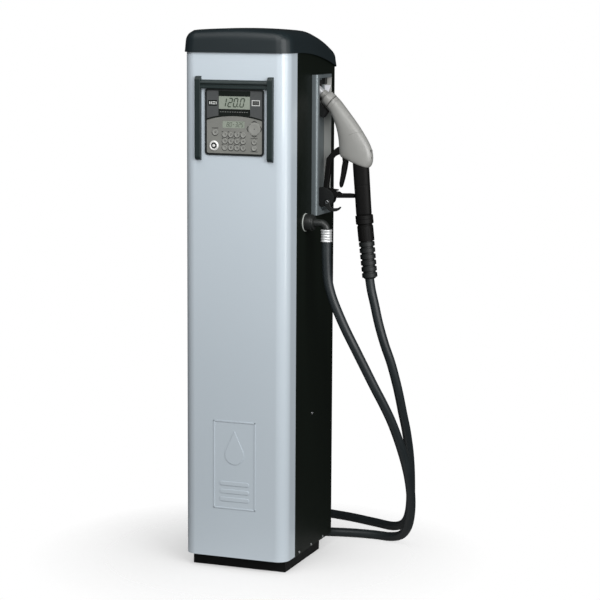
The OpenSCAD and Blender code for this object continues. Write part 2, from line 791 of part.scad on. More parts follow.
base_plinth();
chassis();
front_cover();
side_panel_right();
side_panel_left();
rear_panel();
top_cap();
panel_screws();
relief_plate();
guard_rail_left();
guard_rail_right();
display_hood();
control_housing();
display_fascia();
keypad_fascia();
display_modules();
circuit_board();
key_reader();
number_key(1, 1);  // key_r1c1
number_key(1, 2);  // key_r1c2
number_key(1, 3);  // key_r1c3
number_key(1, 4);  // key_r1c4
number_key(2, 1);  // key_r2c1
number_key(2, 2);  // key_r2c2
number_key(2, 3);  // key_r2c3
number_key(2, 4);  // key_r2c4
number_key(3, 1);  // key_r3c1
number_key(3, 2);  // key_r3c2
number_key(3, 3);  // key_r3c3
number_key(3, 4);  // key_r3c4
round_key(start_at, start_d);  // start_key
navigation_pad();
round_key([preset_x, preset_z[0]], key_d);  // preset_key_upper
round_key([preset_x, preset_z[1]], key_d);  // preset_key_lower
nozzle_tray();
spout_boot();
drip_ledge();
nozzle_cradle();
switch_lever();
outlet_ring();
bulkhead_fitting();
outlet_elbow();
hose_ferrule();
delivery_hose();
spout();
spout_collar();
nozzle_cover();
grip();
trigger_guard();
trigger();
hold_latch();
hose_swivel();
bend_restrictor();
mains_switch_plate();
mains_switch_knob();
pump_unit();
pump_motor();
motor_fan();
flow_meter();
pipework();
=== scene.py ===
import math
import bmesh
import bpy
from mathutils import Matrix, Vector
from mathutils.kdtree import KDTree


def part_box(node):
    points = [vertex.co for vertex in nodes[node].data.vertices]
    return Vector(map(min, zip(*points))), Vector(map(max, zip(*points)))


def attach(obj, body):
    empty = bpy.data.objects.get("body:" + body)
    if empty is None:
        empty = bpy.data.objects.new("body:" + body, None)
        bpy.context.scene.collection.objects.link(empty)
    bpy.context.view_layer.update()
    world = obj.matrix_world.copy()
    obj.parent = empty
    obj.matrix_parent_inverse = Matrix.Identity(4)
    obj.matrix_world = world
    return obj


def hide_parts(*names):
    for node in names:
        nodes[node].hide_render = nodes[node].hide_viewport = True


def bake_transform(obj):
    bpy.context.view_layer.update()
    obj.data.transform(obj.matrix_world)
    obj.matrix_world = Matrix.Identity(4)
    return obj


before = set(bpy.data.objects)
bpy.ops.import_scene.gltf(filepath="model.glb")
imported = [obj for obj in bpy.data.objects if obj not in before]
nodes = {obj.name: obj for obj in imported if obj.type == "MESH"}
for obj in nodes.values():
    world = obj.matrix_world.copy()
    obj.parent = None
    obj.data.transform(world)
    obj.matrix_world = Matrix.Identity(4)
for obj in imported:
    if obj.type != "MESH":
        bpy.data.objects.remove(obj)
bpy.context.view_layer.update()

# ---- Camera ----
# A long lens at eye height, six metres off, a little to the right of the front.
# It is turned by its own right, up and view directions.
view_azimuth, view_elevation, view_roll = math.radians(20.803), math.radians(8.426), math.radians(0.324)
view_distance = 6.1089
view_target = Vector((0.1291, 0.0, 0.79475))
towards = Vector((math.sin(view_azimuth) * math.cos(view_elevation),
                  -math.cos(view_azimuth) * math.cos(view_elevation),
                  math.sin(view_elevation)))
level_right = (-towards).cross(Vector((0, 0, 1))).normalized()
level_up = level_right.cross(-towards)
right = level_right * math.cos(view_roll) + level_up * math.sin(view_roll)
up = level_up * math.cos(view_roll) - level_right * math.sin(view_roll)
camera_data = bpy.data.cameras.new("camera")
camera_data.sensor_width = 36.0
camera_data.lens = 122.72
camera_data.clip_end = 60.0
camera = bpy.data.objects.new("camera", camera_data)
bpy.context.scene.collection.objects.link(camera)
camera.matrix_world = Matrix.Translation(view_target + towards * view_distance) @ Matrix(
    (right, up, towards)).transposed().to_4x4()
bpy.context.scene.camera = camera

# ---- Delivery hose ----
# 3.7 m of 28 mm black rubber hose with a lightly cloth-marked cover. It drops
# from the outlet's ferrule, runs along the floor round one wide bend behind the
# cabinet, and rises into the nozzle's bend restrictor.
hose_radius = 0.014


def mm(*rows):
    """Rows of numbers given in millimetres, in metres."""
    return [tuple(value / 1000 for value in row) for row in rows]


hose_route = mm((229, -47, 980), (229, -47, 950), (230, -47, 915), (234, -47, 868), (246, -47, 822),
                (265, -46, 775), (290, -42, 720), (318, -36, 664), (346, -25, 604), (371, -12, 548),
                (395, 6, 492), (415, 32, 430), (432, 70, 345), (440, 114, 256), (434, 162, 168),
                (413, 212, 90), (378, 258, 38), (332, 287, 17), (270, 300, 14), (190, 294, 14),
                (95, 272, 14), (-15, 250, 14), (-125, 240, 14), (-235, 242, 14), (-318, 279, 14),
                (-356, 352, 14), (-338, 436, 14), (-270, 494, 14), (-180, 511, 14), (-85, 512, 14),
                (20, 504, 14), (125, 482, 14), (225, 446, 14), (300, 402, 20), (350, 360, 46),
                (380, 318, 100), (398, 270, 185), (410, 218, 290), (414, 170, 380), (412, 136, 445),
                (405, 106, 525), (390, 86, 604), (371, 77, 664), (353, 75, 724), (338, 75, 786),
                (328, 75, 826), (322.3, 75, 860))


def smooth_line(points, steps):
    """Points on the smooth curve through a list of points, with steps to each stretch."""
    line = []
    for i in range(len(points) - 1):
        a, b, c, d = (Vector(points[min(max(i + k, 0), len(points) - 1)]) for k in (-1, 0, 1, 2))
        for k in range(steps):
            t = k / steps
            line.append(0.5 * (2 * b + (c - a) * t + (2 * a - 5 * b + 4 * c - d) * t * t
                               + (3 * b - a - 3 * c + d) * t * t * t))
    return line + [Vector(points[-1])]


def tube(name, line, radius, sides):
    """A closed mesh tube along a line of points, through a bevelled curve."""
    curve = bpy.data.curves.new(name, "CURVE")
    curve.dimensions = "3D"
    curve.twist_mode = "MINIMUM"
    curve.bevel_depth = radius
    curve.bevel_resolution = sides // 4 - 1
    curve.use_fill_caps = True
    spline = curve.splines.new("POLY")
    spline.points.add(len(line) - 1)
    for point, at in zip(spline.points, line):
        point.co = (*at, 1.0)
    carrier = bpy.data.objects.new(name + "_line", curve)
    bpy.context.scene.collection.objects.link(carrier)
    bpy.context.view_layer.update()
    mesh = bpy.data.meshes.new_from_object(carrier.evaluated_get(
        bpy.context.evaluated_depsgraph_get()))
    bpy.data.objects.remove(carrier)
    bpy.data.curves.remove(curve)
    mesh.shade_smooth()
    mesh.name = name
    return mesh


def place(mesh, name):
    """A new object for a mesh, at the origin."""
    piece = bpy.data.objects.new(name, mesh)
    bpy.context.scene.collection.objects.link(piece)
    return piece


def add_node(tree, kind, given=(), **settings):
    """A new shader node, its settings made first and its inputs then given a value or a link."""
    node = tree.nodes.new(kind)
    for setting, value in settings.items():
        setattr(node, setting, value)
    for name, value in dict(given).items():
        if isinstance(value, bpy.types.NodeSocket):
            tree.links.new(value, node.inputs[name])
        else:
            node.inputs[name].default_value = value
    return node


def build_mark_group():
    """Fine grain and broad soft patches over a surface, for every finish on the dispenser."""
    group = bpy.data.node_groups.new("surface_marks", "ShaderNodeTree")
    for name, way, kind in (("Position", "INPUT", "Vector"), ("Grain Scale", "INPUT", "Float"),
                            ("Patch Scale", "INPUT", "Float"), ("Grain", "OUTPUT", "Float"),
                            ("Patches", "OUTPUT", "Float")):
        group.interface.new_socket(name, in_out=way, socket_type="NodeSocket" + kind)
    given = add_node(group, "NodeGroupInput").outputs
    result = add_node(group, "NodeGroupOutput")
    for source, target, detail in (("Grain Scale", "Grain", 3.0), ("Patch Scale", "Patches", 2.0)):
        noise = add_node(group, "ShaderNodeTexNoise", {
            "Detail": detail, "Vector": given["Position"], "Scale": given[source]})
        group.links.new(noise.outputs["Fac"], result.inputs[target])
    return group


surface_marks = build_mark_group()


def finish(name, colour, tint, roughness, metallic=0.0, coat=0.0, grain=900, depth=0.05,
           patch=5, spread=0.08, stretch=(1, 1, 1), specular=0.5):
    """A material: two close tones in soft patches, uneven gloss, and a fine raised grain whose
    depth is in millimetres."""
    material = bpy.data.materials.new(name)
    material.use_nodes = True
    tree = material.node_tree
    where = add_node(tree, "ShaderNodeTexCoord").outputs["Object"]
    scaled = add_node(tree, "ShaderNodeMapping", {"Scale": stretch, "Vector": where})
    marks = add_node(tree, "ShaderNodeGroup", {
        "Grain Scale": grain, "Patch Scale": patch, "Position": scaled.outputs["Vector"]},
        node_tree=surface_marks).outputs
    tones = add_node(tree, "ShaderNodeMix", {
        "A": (*colour, 1.0), "B": (*tint, 1.0), "Factor": marks["Patches"]}, data_type="RGBA")
    gloss = add_node(tree, "ShaderNodeMapRange", {
        "To Min": max(roughness - spread, 0.03), "To Max": min(roughness + spread, 1.0),
        "Value": marks["Patches"]})
    raised = add_node(tree, "ShaderNodeBump", {
        "Strength": 0.5, "Distance": depth / 1000, "Height": marks["Grain"]})
    shader = tree.nodes["Principled BSDF"].inputs
    for socket, value in (("Metallic", metallic), ("Coat Weight", coat), ("Coat Roughness", 0.12),
                          ("Specular IOR Level", specular)):
        shader[socket].default_value = value
    for socket, source in (("Base Color", tones), ("Roughness", gloss)):
        tree.links.new(source.outputs["Result"], shader[socket])
    tree.links.new(raised.outputs["Normal"], shader["Normal"])
    return material


hose_black = finish("hose_black", (0.01, 0.014, 0.016), (0.02, 0.026, 0.028), 0.42,
                    grain=1400, depth=0.1, patch=14)
hose_line = smooth_line(hose_route, 4)
hose = place(tube("delivery_hose_tube", hose_line, hose_radius, 24), "delivery_hose_tube")
hose.data.materials.append(hose_black)
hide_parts("delivery_hose")
# each ring is drawn in to the hose's middle while the object's place is baked into the mesh, and is then
# put back where it was
middle = KDTree(len(hose_line))
for i, point in enumerate(hose_line):
    middle.insert(point, i)
middle.balance()
ring_places = [v.co.copy() for v in hose.data.vertices]
for v in hose.data.vertices:
    v.co = middle.find(v.co)[0]
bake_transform(hose)
for v, at in zip(hose.data.vertices, ring_places):
    v.co = at


# ---- Front cover ----
# One sheet of 2 mm steel folded round the front of the cabinet, powder-coated
# light blue-grey with a smooth gloss. It hooks over the posts; the control panel
# stands in its window.
cover_paint = finish("cover_paint", (0.492, 0.555, 0.605), (0.524, 0.587, 0.637), 0.3, coat=0.5,
                     grain=260, depth=0.04, patch=2.2, spread=0.05)


def shell_piece(bm, name, body, slot, material, stands_for=(), sharp=35.0, outward=True):
    """Turns a bmesh into a finished piece that rides on a body."""
    bmesh.ops.remove_doubles(bm, verts=bm.verts, dist=1e-6)
    if outward:
        bmesh.ops.recalc_face_normals(bm, faces=bm.faces)
    mesh = bpy.data.meshes.new(name)
    bm.to_mesh(mesh)
    bm.free()
    mesh.shade_smooth()
    mesh.set_sharp_from_angle(angle=math.radians(sharp))
    piece = place(mesh, name)
    mesh.materials.append(material)
    weighted = piece.modifiers.new("weighted", "WEIGHTED_NORMAL")
    weighted.keep_sharp = True
    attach(piece, body)
    if stands_for:
        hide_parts(*stands_for)
    return piece


def edge_span(edge, axis):
    """How far an edge runs along an axis."""
    return abs(edge.verts[0].co[axis] - edge.verts[1].co[axis])


def cut_through(bm, point, normal):
    """Cuts every face along a plane and keeps both sides."""
    bmesh.ops.bisect_plane(bm, geom=bm.verts[:] + bm.edges[:] + bm.faces[:], dist=1e-6,
                           plane_co=point, plane_no=normal)


def thicken(bm, outward, wall):
    """Faces a skin outward, judged by its furthest face that way, and gives it a wall."""
    outward = Vector(outward)
    bmesh.ops.recalc_face_normals(bm, faces=bm.faces)
    if max(bm.faces, key=lambda f: f.calc_center_median().dot(outward)).normal.dot(outward) < 0:
        bmesh.ops.reverse_faces(bm, faces=bm.faces)
    bmesh.ops.solidify(bm, geom=bm.faces[:], thickness=wall)


def soften(bm, edges, width, segments=3):
    """Rounds edges."""
    bmesh.ops.bevel(bm, geom=edges, offset=width, segments=segments, profile=0.5,
                    affect="EDGES", material=-1, clamp_overlap=True)


def raised_verts(made):
    """The vertices among the geometry that an extrusion made."""
    return [part for part in made["geom"] if isinstance(part, bmesh.types.BMVert)]


cover_low, cover_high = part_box("front_cover")
cover_corner, cover_sheet = 0.036, 0.002
bm = bmesh.new()
fold = [bm.verts.new(at) for at in (
    (cover_low.x, cover_high.y, cover_low.z), (cover_low.x, cover_low.y, cover_low.z),
    (cover_high.x, cover_low.y, cover_low.z), (cover_high.x, cover_high.y, cover_low.z))]
edges = [bm.edges.new(pair) for pair in zip(fold, fold[1:])]
made = bmesh.ops.extrude_edge_only(bm, edges=edges)
bmesh.ops.translate(bm, verts=raised_verts(made), vec=(0, 0, cover_high.z - cover_low.z))
upright = [e for e in bm.edges if edge_span(e, 2) > 0.1 and e.verts[0].co.y < cover_low.y + 1e-4]
soften(bm, upright, cover_corner, 14)
window_low, window_high = Vector((-0.089, 0, 1.239)), Vector((0.089, 0, 1.425))
for point, normal in ((window_low, (1, 0, 0)), (window_high, (1, 0, 0)),
                      (window_low, (0, 0, 1)), (window_high, (0, 0, 1))):
    cut_through(bm, point, normal)
inside_window = [f for f in bm.faces
                 if window_low.x < f.calc_center_median().x < window_high.x
                 and window_low.z < f.calc_center_median().z < window_high.z
                 and f.calc_center_median().y < cover_low.y + 1e-4]
bmesh.ops.delete(bm, geom=inside_window, context="FACES")
thicken(bm, (0, -1, 0), cover_sheet)
shell_piece(bm, "front_cover_sheet", "cabinet", "cover_paint", cover_paint,
            ["front_cover"], outward=False)


# ---- Raised decoration ----
# A plain relief pressed out of the front cover near its foot: a rim, a drop and
# three bars, in the cover's own colour.
def fresh_verts(bm, before):
    """The vertices made since a set of them was taken."""
    return [v for v in bm.verts if v not in before]


def fresh_edges(bm, before):
    """The edges that meet those vertices, in the mesh's own order."""
    return [e for e in bm.edges if any(v not in before for v in e.verts)]


def box_block(bm, low, high, along="y", corner=0.0, rim=0.0, segments=3):
    """A box between two corners, its edges along one axis rounded, and then its end rims."""
    before = set(bm.verts)
    low, high = Vector(low), Vector(high)
    verts = bmesh.ops.create_cube(bm, size=1.0)["verts"]
    bmesh.ops.scale(bm, verts=verts, vec=high - low)
    bmesh.ops.translate(bm, verts=verts, vec=(low + high) / 2)
    axis = "xyz".index(along)
    if corner:
        soften(bm, [e for e in fresh_edges(bm, before) if edge_span(e, axis) > 1e-6], corner,
               2 * segments)
    if rim:
        ends = (low[axis], high[axis])
        soften(bm, [e for e in fresh_edges(bm, before) for end in ends
                    if all(abs(v.co[axis] - end) < 1e-6 for v in e.verts)], rim, segments)
    return bm


def outline_plate(bm, outline, start, depth, rim=0.0, segments=2, along="y"):
    """A plate with a flat outline, from one depth over a distance: X and Z along Y,
    or Y and Z along X."""
    before = set(bm.verts)
    axis = "xyz".index(along)
    face = bm.faces.new([bm.verts.new((a, start, z) if axis == 1 else (start, a, z))
                         for a, z in outline])
    made = bmesh.ops.extrude_face_region(bm, geom=[face])
    step = Vector((0, 0, 0))
    step[axis] = depth
    bmesh.ops.translate(bm, verts=raised_verts(made), vec=step)
    if rim:
        soften(bm, [e for e in fresh_edges(bm, before) if edge_span(e, axis) < 1e-6], rim, segments)
    return bm


def turn_verts(bm, verts, centre, degrees, axis):
    """Turns vertices about an axis through a centre."""
    bmesh.ops.rotate(bm, verts=verts, cent=centre,
                     matrix=Matrix.Rotation(math.radians(degrees), 3, axis))


def arc_points(centre, radius, first, last, count):
    """Points of an arc, between two angles in degrees."""
    angles = (math.radians(first + (last - first) * i / count) for i in range(count + 1))
    return [(centre[0] + radius * math.cos(a), centre[1] + radius * math.sin(a)) for a in angles]


relief_root = cover_low.y + 0.0005
bar_half_width, bar_half_height = 0.046, 0.006
relief_low, relief_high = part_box("relief_plate")
bm = bmesh.new()
rim_width = 0.004
for low, high in (((relief_low.x, relief_high.z - rim_width), (relief_high.x, relief_high.z)),
                  ((relief_low.x, relief_low.z), (relief_high.x, relief_low.z + rim_width)),
                  ((relief_low.x, relief_low.z), (relief_low.x + rim_width, relief_high.z)),
                  ((relief_high.x - rim_width, relief_low.z), (relief_high.x, relief_high.z))):
    box_block(bm, (low[0], relief_low.y, low[1]), (high[0], relief_root, high[1]), rim=0.0008)
outline_plate(bm, [(0, 0.424)] + arc_points((0, 0.352), 0.03, 25, -205, 28),
              relief_low.y, 0.002, rim=0.0009)
for bar_z in (0.216, 0.24, 0.264):
    box_block(bm, (-bar_half_width, relief_low.y, bar_z - bar_half_height),
              (bar_half_width, relief_root, bar_z + bar_half_height), corner=0.005, rim=0.0008)
shell_piece(bm, "cover_relief", "cabinet", "cover_paint", cover_paint, ["relief_plate"])


# ---- Top cap ----
# A black moulded cap, crowned along its middle and falling to the rear, its
# skirt hanging over the cover and panels. It is screwed on from inside.
cap_black = finish("cap_black", (0.008, 0.013, 0.015), (0.012, 0.019, 0.022), 0.44,
                   grain=1800, depth=0.06, patch=4, specular=0.35)
cap_low, cap_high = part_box("top_cap")
cap_round, cap_wall = 0.032, 0.003
front_corner, rear_corner = 0.042, 0.01
# where the top and the skirt start to fall, over what run and by how much
crown_from, crown_run, crown_fall, crown_sides = -0.06, 0.262, 0.058, 0.008
skirt_from, skirt_run, skirt_fall, skirt_front = -0.132, 0.336, 0.049, 1.531


def edge_gap(x, y):
    """How far a point lies inside the cap's plan, whose front corners are rounder."""
    radius = front_corner if y < 0 else rear_corner
    away_x = abs(x) - (cap_high.x - radius)
    away_y = max(cap_low.y + radius - y, y - (cap_high.y - radius))
    if away_x > 0 and away_y > 0:
        return radius - math.hypot(away_x, away_y)
    return radius - max(away_x, away_y)


def cap_crown(x, y):
    """Height of the cap's top over a point."""
    fall = max(y - crown_from, 0.0) / crown_run
    return cap_high.z - crown_sides * (x / cap_high.x) ** 2 - crown_fall * fall ** 1.8


def skirt_foot(y):
    """Height of the skirt's lower edge, which drops to the rear."""
    fall = max(y - skirt_from, 0.0) / skirt_run
    return skirt_front - skirt_fall * fall * fall


bm = bmesh.new()
cap_verts = bmesh.ops.create_cube(bm, size=1.0)["verts"]
bmesh.ops.scale(bm, verts=cap_verts, vec=(cap_high.x - cap_low.x, cap_high.y - cap_low.y, 1.0))
bmesh.ops.translate(bm, verts=cap_verts, vec=(0, (cap_high.y + cap_low.y) / 2, 0.5))
for radius, end_y in ((front_corner, cap_low.y), (rear_corner, cap_high.y)):
    soften(bm, [e for e in bm.edges if edge_span(e, 2) > 0.5
                and abs(e.verts[0].co.y - end_y) < 1e-5], radius, 10)
top_face = max(bm.faces, key=lambda f: f.calc_center_median().z)
for step in (0.0006, 0.0014, 0.0024, 0.0036):
    bmesh.ops.inset_region(bm, faces=[top_face], thickness=step, use_even_offset=True)
for count, axis in ((26, 0), (34, 1)):
    for i in range(1, count):
        at = Vector((0, 0, 0))
        at[axis] = cap_low[axis] + (cap_high[axis] - cap_low[axis]) * i / count
        cut_through(bm, at, [1 if k == axis else 0 for k in range(3)])
bottom = [f for f in bm.faces if abs(f.calc_center_median().z) < 1e-6]
bmesh.ops.delete(bm, geom=bottom, context="FACES")
for vert in bm.verts:
    if vert.co.z > 0.5:
        near = min(max(edge_gap(vert.co.x, vert.co.y), 0.0) / cap_round, 1.0)
        rounding = cap_round * (1 - math.sqrt(1 - (1 - near) ** 2))
        vert.co.z = cap_crown(vert.co.x, vert.co.y) - rounding
        # the top stands a little inside the skirt
        vert.co.x *= 0.985
        vert.co.y *= 0.99
    else:
        vert.co.z = skirt_foot(vert.co.y)
thicken(bm, (0, 0, 1), cap_wall)
shell_piece(bm, "cap_shell", "cabinet", "cap_plastic", cap_black, ["top_cap"], outward=False)


# ---- Cabinet sheets, plinth and works ----
# Bent sheet steel: near-black satin side and rear panels on a zinc-coated frame,
# a textured black plinth, and countersunk zinc screws. The works stand inside.
def dress(material, *names):
    """Gives a material to CAD nodes."""
    for name in names:
        for place_on in nodes[name].material_slots:
            place_on.material = material


side_black = finish("side_black", (0.004, 0.0062, 0.0042), (0.0058, 0.0084, 0.006), 0.42,
                    grain=1500, depth=0.06, patch=3, specular=0.12)
plinth_black = finish("plinth_black", (0.0015, 0.0018, 0.0018), (0.003, 0.0034, 0.0034), 0.7,
                      grain=2200, depth=0.15, patch=12, specular=0.25)
frame_zinc = finish("frame_zinc", (0.32, 0.33, 0.34), (0.42, 0.43, 0.44), 0.45,
                    metallic=0.8, grain=700, patch=18)
screw_zinc = finish("screw_zinc", (0.42, 0.43, 0.44), (0.52, 0.53, 0.54), 0.32,
                    metallic=0.9, grain=3000, patch=60)
works_grey = finish("works_grey", (0.1, 0.11, 0.12), (0.14, 0.15, 0.16), 0.6,
                    grain=600, depth=0.3, patch=14)
motor_blue = finish("motor_blue", (0.045, 0.07, 0.105), (0.06, 0.088, 0.125), 0.45,
                    depth=0.1, patch=10)
meter_alloy = finish("meter_alloy", (0.5, 0.51, 0.52), (0.6, 0.61, 0.62), 0.4,
                     metallic=0.9, grain=800, depth=0.1, patch=16)
dress(side_black, "side_panel_right", "side_panel_left", "rear_panel")
dress(plinth_black, "base_plinth")
dress(frame_zinc, "chassis", "pipework")
dress(works_grey, "pump_unit")
dress(motor_blue, "pump_motor")
dress(meter_alloy, "flow_meter", "motor_fan")


def turned(bm, profile, at, axis, steps=48):
    """A turned shape from a profile of radius and distance along an axis."""
    before = set(bm.verts)
    verts = [bm.verts.new((radius, 0, along)) for radius, along in profile]
    edges = [bm.edges.new(pair) for pair in zip(verts, verts[1:])]
    bmesh.ops.spin(bm, geom=verts + edges, cent=(0, 0, 0), axis=(0, 0, 1), dvec=(0, 0, 0),
                   angle=math.tau, steps=steps, use_merge=True, use_duplicate=False)
    bmesh.ops.remove_doubles(bm, verts=fresh_verts(bm, before), dist=1e-6)
    turn = Vector((0, 0, 1)).rotation_difference(Vector(axis)).to_matrix().to_4x4()
    bmesh.ops.transform(bm, matrix=Matrix.Translation(at) @ turn, verts=fresh_verts(bm, before))
    return bm


def turned_piece(profile, at, axis, steps, *piece, **options):
    """A finished piece of one turned shape."""
    return shell_piece(turned(bmesh.new(), profile, at, axis, steps), *piece, **options)


bm = bmesh.new()
screw_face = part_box("panel_screws")[1].x - 0.0024
for side in (-1, 1):
    for y, z in ((-0.081, 0.044), (0.02, 0.043), (0.122, 0.042), (0.021, 0.449)):
        turned(bm, mm((0, 0), (4.4, 0), (4.2, 1), (3, 1.9), (1.9, 2.2), (1.7, 1.2), (0, 1.2)),
               (side * screw_face, y, z), (side, 0, 0), 24)
shell_piece(bm, "screw_heads", "cabinet", "screw_zinc", screw_zinc, ["panel_screws"])


# ---- Guard rails and hood ----
# Moulded black-green bars that shield the panel: two uprights whose ends curve
# back to the cover, and a hood in two tiers between them.
rail_black = finish("rail_black", (0.01, 0.018, 0.018), (0.015, 0.025, 0.025), 0.44,
                    grain=1900, patch=9, specular=0.4)
rail_bend = 0.012
for name in ("guard_rail_left", "guard_rail_right"):
    low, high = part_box(name)
    profile = ([(high.y, low.z)]
               + arc_points((low.y + rail_bend, low.z + rail_bend), rail_bend, 270, 180, 8)
               + arc_points((low.y + rail_bend, high.z - rail_bend), rail_bend, 180, 90, 8)
               + [(high.y, high.z)])
    bm = bmesh.new()
    outline_plate(bm, profile, low.x, high.x - low.x, rim=0.0058, segments=6, along="x")
    shell_piece(bm, name + "_moulding", "cabinet", "rail_plastic", rail_black, [name])
hood_low, hood_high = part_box("display_hood")
bm = bmesh.new()
front = hood_high.y
hood_profile = ([(front, 1.428), (front - 0.0095, 1.428)]
                + arc_points((front - 0.0095, 1.4295), 0.0015, 270, 180, 3)
                + arc_points((front - 0.0095, 1.4325), 0.0015, 180, 90, 3)
                + [(front - 0.007, 1.4345), (front - 0.0068, 1.44), (front - 0.01, 1.441)]
                + arc_points((front - 0.001, 1.4425), 0.0105, 180, 90, 10) + [(front, 1.453)])
outline_plate(bm, hood_profile, hood_low.x, hood_high.x - hood_low.x, along="x")
shell_piece(bm, "hood_moulding", "cabinet", "rail_plastic", rail_black, ["display_hood"],
            sharp=28.0)


# ---- Control panel ----
# A black moulded housing with a dark membrane round the main display, a warm
# grey one round the keys, a black arc between them, and printed marks.
panel_black = finish("panel_black", (0.008, 0.01, 0.01), (0.013, 0.016, 0.016), 0.3,
                     coat=0.3, grain=1600, patch=10)
display_grey = finish("display_grey", (0.054, 0.058, 0.059), (0.066, 0.071, 0.072), 0.45,
                      grain=2600, depth=0.04, patch=20)
keypad_grey = finish("keypad_grey", (0.16, 0.163, 0.15), (0.212, 0.215, 0.198), 0.42,
                     grain=2600, depth=0.04, patch=16)
glass_black = finish("glass_black", (0.007, 0.01, 0.008), (0.011, 0.014, 0.012), 0.16,
                     coat=0.6, depth=0.01, patch=20)
board_green = finish("board_green", (0.015, 0.1, 0.04), (0.025, 0.15, 0.06), 0.35,
                     grain=500, depth=0.1, patch=90)
lcd_green = finish("display_glass", (0.24, 0.27, 0.228), (0.272, 0.302, 0.256), 0.25,
                   coat=0.2, grain=500, depth=0.01, patch=26)
dress(panel_black, "control_housing")
dress(display_grey, "display_fascia")
dress(keypad_grey, "keypad_fascia")
dress(board_green, "circuit_board")
dress(lcd_green, "display_modules")
fascia_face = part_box("display_fascia")[0].y
lift, print_lift, print_depth = 0.0004, 0.00012, 0.00022
towards_user = (0, -1, 0)

bm = bmesh.new()
for low, high in (((-0.0493, 1.4066), (0.0493, 1.4215)), ((-0.0493, 1.3512), (0.0493, 1.3694)),
                  ((-0.0493, 1.3694), (-0.0489, 1.4066)), ((0.0489, 1.3694), (0.0493, 1.4066))):
    box_block(bm, (low[0], fascia_face - lift, low[1]), (high[0], fascia_face, high[1]))
box_block(bm, (-0.0815, fascia_face - lift, 1.378), (-0.0535, fascia_face, 1.3945),
          corner=0.0015)
divider_outer = arc_points((0, 1.05), 0.3042, 106.4, 73.6, 48)
divider_inner = arc_points((0, 1.05), 0.2996, 73.3, 106.7, 48)
outline_plate(bm, divider_outer + divider_inner, fascia_face - 0.0009, 0.0025, rim=0.0004)
shell_piece(bm, "display_surround", "cabinet", "housing_plastic", glass_black)

# printed marks: light bars on the left plate, a framed plate on the right, dashes
# under the display, and short bars beside the keys
print_light, print_dark, print_mid = (
    finish(name, colour, tint, 0.5, grain=2400, depth=0.02, patch=40)
    for name, colour, tint in (("print_light", (0.52, 0.53, 0.52), (0.58, 0.59, 0.58)),
                               ("print_dark", (0.01, 0.012, 0.011), (0.016, 0.018, 0.017)),
                               ("print_mid", (0.115, 0.12, 0.112), (0.15, 0.155, 0.147))))


def flat_marks(name, boxes, top, material, slot="display_membrane"):
    """Thin printed rectangles at one depth, each from its lower left to its upper right."""
    bm = bmesh.new()
    for x0, z0, x1, z1 in boxes:
        box_block(bm, (x0, top, z0), (x1, top + print_depth, z1))
    return shell_piece(bm, name, "cabinet", slot, material)


dashes = [(-0.045 + 0.0075 * i, 1.3603, -0.0402 + 0.0075 * i, 1.3622) for i in range(12)]
flat_marks("light_print",
           mm((-78.5, 1382.5, -75.5, 1390.5), (-73.5, 1382.5, -70.5, 1390.5), (-68.5, 1382.5, -60, 1385),
              (-68.5, 1387.8, -60, 1390.5), (-58, 1382.5, -55.5, 1390.5)),
           fascia_face - lift - print_lift, print_light)
flat_marks("display_dashes", dashes, fascia_face - lift - print_lift, print_mid)
flat_marks("label_frame",
           mm((54, 1380, 79, 1396.5)), fascia_face - 0.0002, print_light)
flat_marks("label_blocks", mm((56.5, 1382.5, 76.8, 1394)), fascia_face - lift, print_dark)
flat_marks("label_marks",
           mm((60, 1385, 62.5, 1391.5), (64, 1385, 70, 1387.2), (64, 1389.3, 70, 1391.5),
              (71.5, 1385, 74, 1391.5)),
           fascia_face - lift - 0.0002, print_mid)

# short dark dashes beside and above the keys
key_columns = (-0.03, -0.0109, 0.0082, 0.0273)
key_rows = (1.296, 1.2772, 1.2584)
key_radius, start_radius = 0.008, 0.009
preset_keys = (("preset_key_upper", (0.0615, 1.277), "+"), ("preset_key_lower", (0.0615, 1.259), "-"))
start_centre = (-0.06, 1.302)
ticks = [(x - 0.0095, z + 0.007, x - 0.005, z + 0.009) for x in key_columns for z in key_rows]
labels = mm((-70, 1313, -50.5, 1315), (50.5, 1286, 72.5, 1287.5), (50.5, 1248, 72.5, 1249.5))
flat_marks("key_ticks", ticks + labels, fascia_face - 0.0002, print_dark, "keypad_membrane")

# seven-bar figures, each bar a slim plate with pointed ends, leaning to the right
bar_plan = {"a": (0, 1, 1, 1), "b": (1, 0.5, 1, 1), "c": (1, 0, 1, 0.5), "d": (0, 0, 1, 0),
            "e": (0, 0, 0, 0.5), "f": (0, 0.5, 0, 1), "g": (0, 0.5, 1, 0.5)}
figure_bars = {"0": "abcdef", "1": "bc", "2": "abged", "3": "abgcd", "4": "fgbc", "5": "afgcd",
               "6": "afgecd", "7": "abc", "8": "abcdefg", "9": "abcdfg", "-": "g"}


def figure(bm, shape, at, width, height, weight, lean, top):
    """One seven-bar figure in X and Z, its lower left at a point, its bars a weight wide."""
    for bar in figure_bars[shape]:
        x0, z0, x1, z1 = bar_plan[bar]
        start, end = Vector((x0 * width, z0 * height)), Vector((x1 * width, z1 * height))
        run = (end - start).normalized()
        across = Vector((-run.y, run.x)) * weight / 2
        start, end = start + run * weight * 0.1, end - run * weight * 0.1
        taper = run * weight * 0.45
        outline = [start, start + taper + across, end - taper + across, end,
                   end - taper - across, start + taper - across]
        outline_plate(bm, [(at[0] + p.x + lean * p.y, at[1] + p.y) for p in outline],
                      top, print_depth)


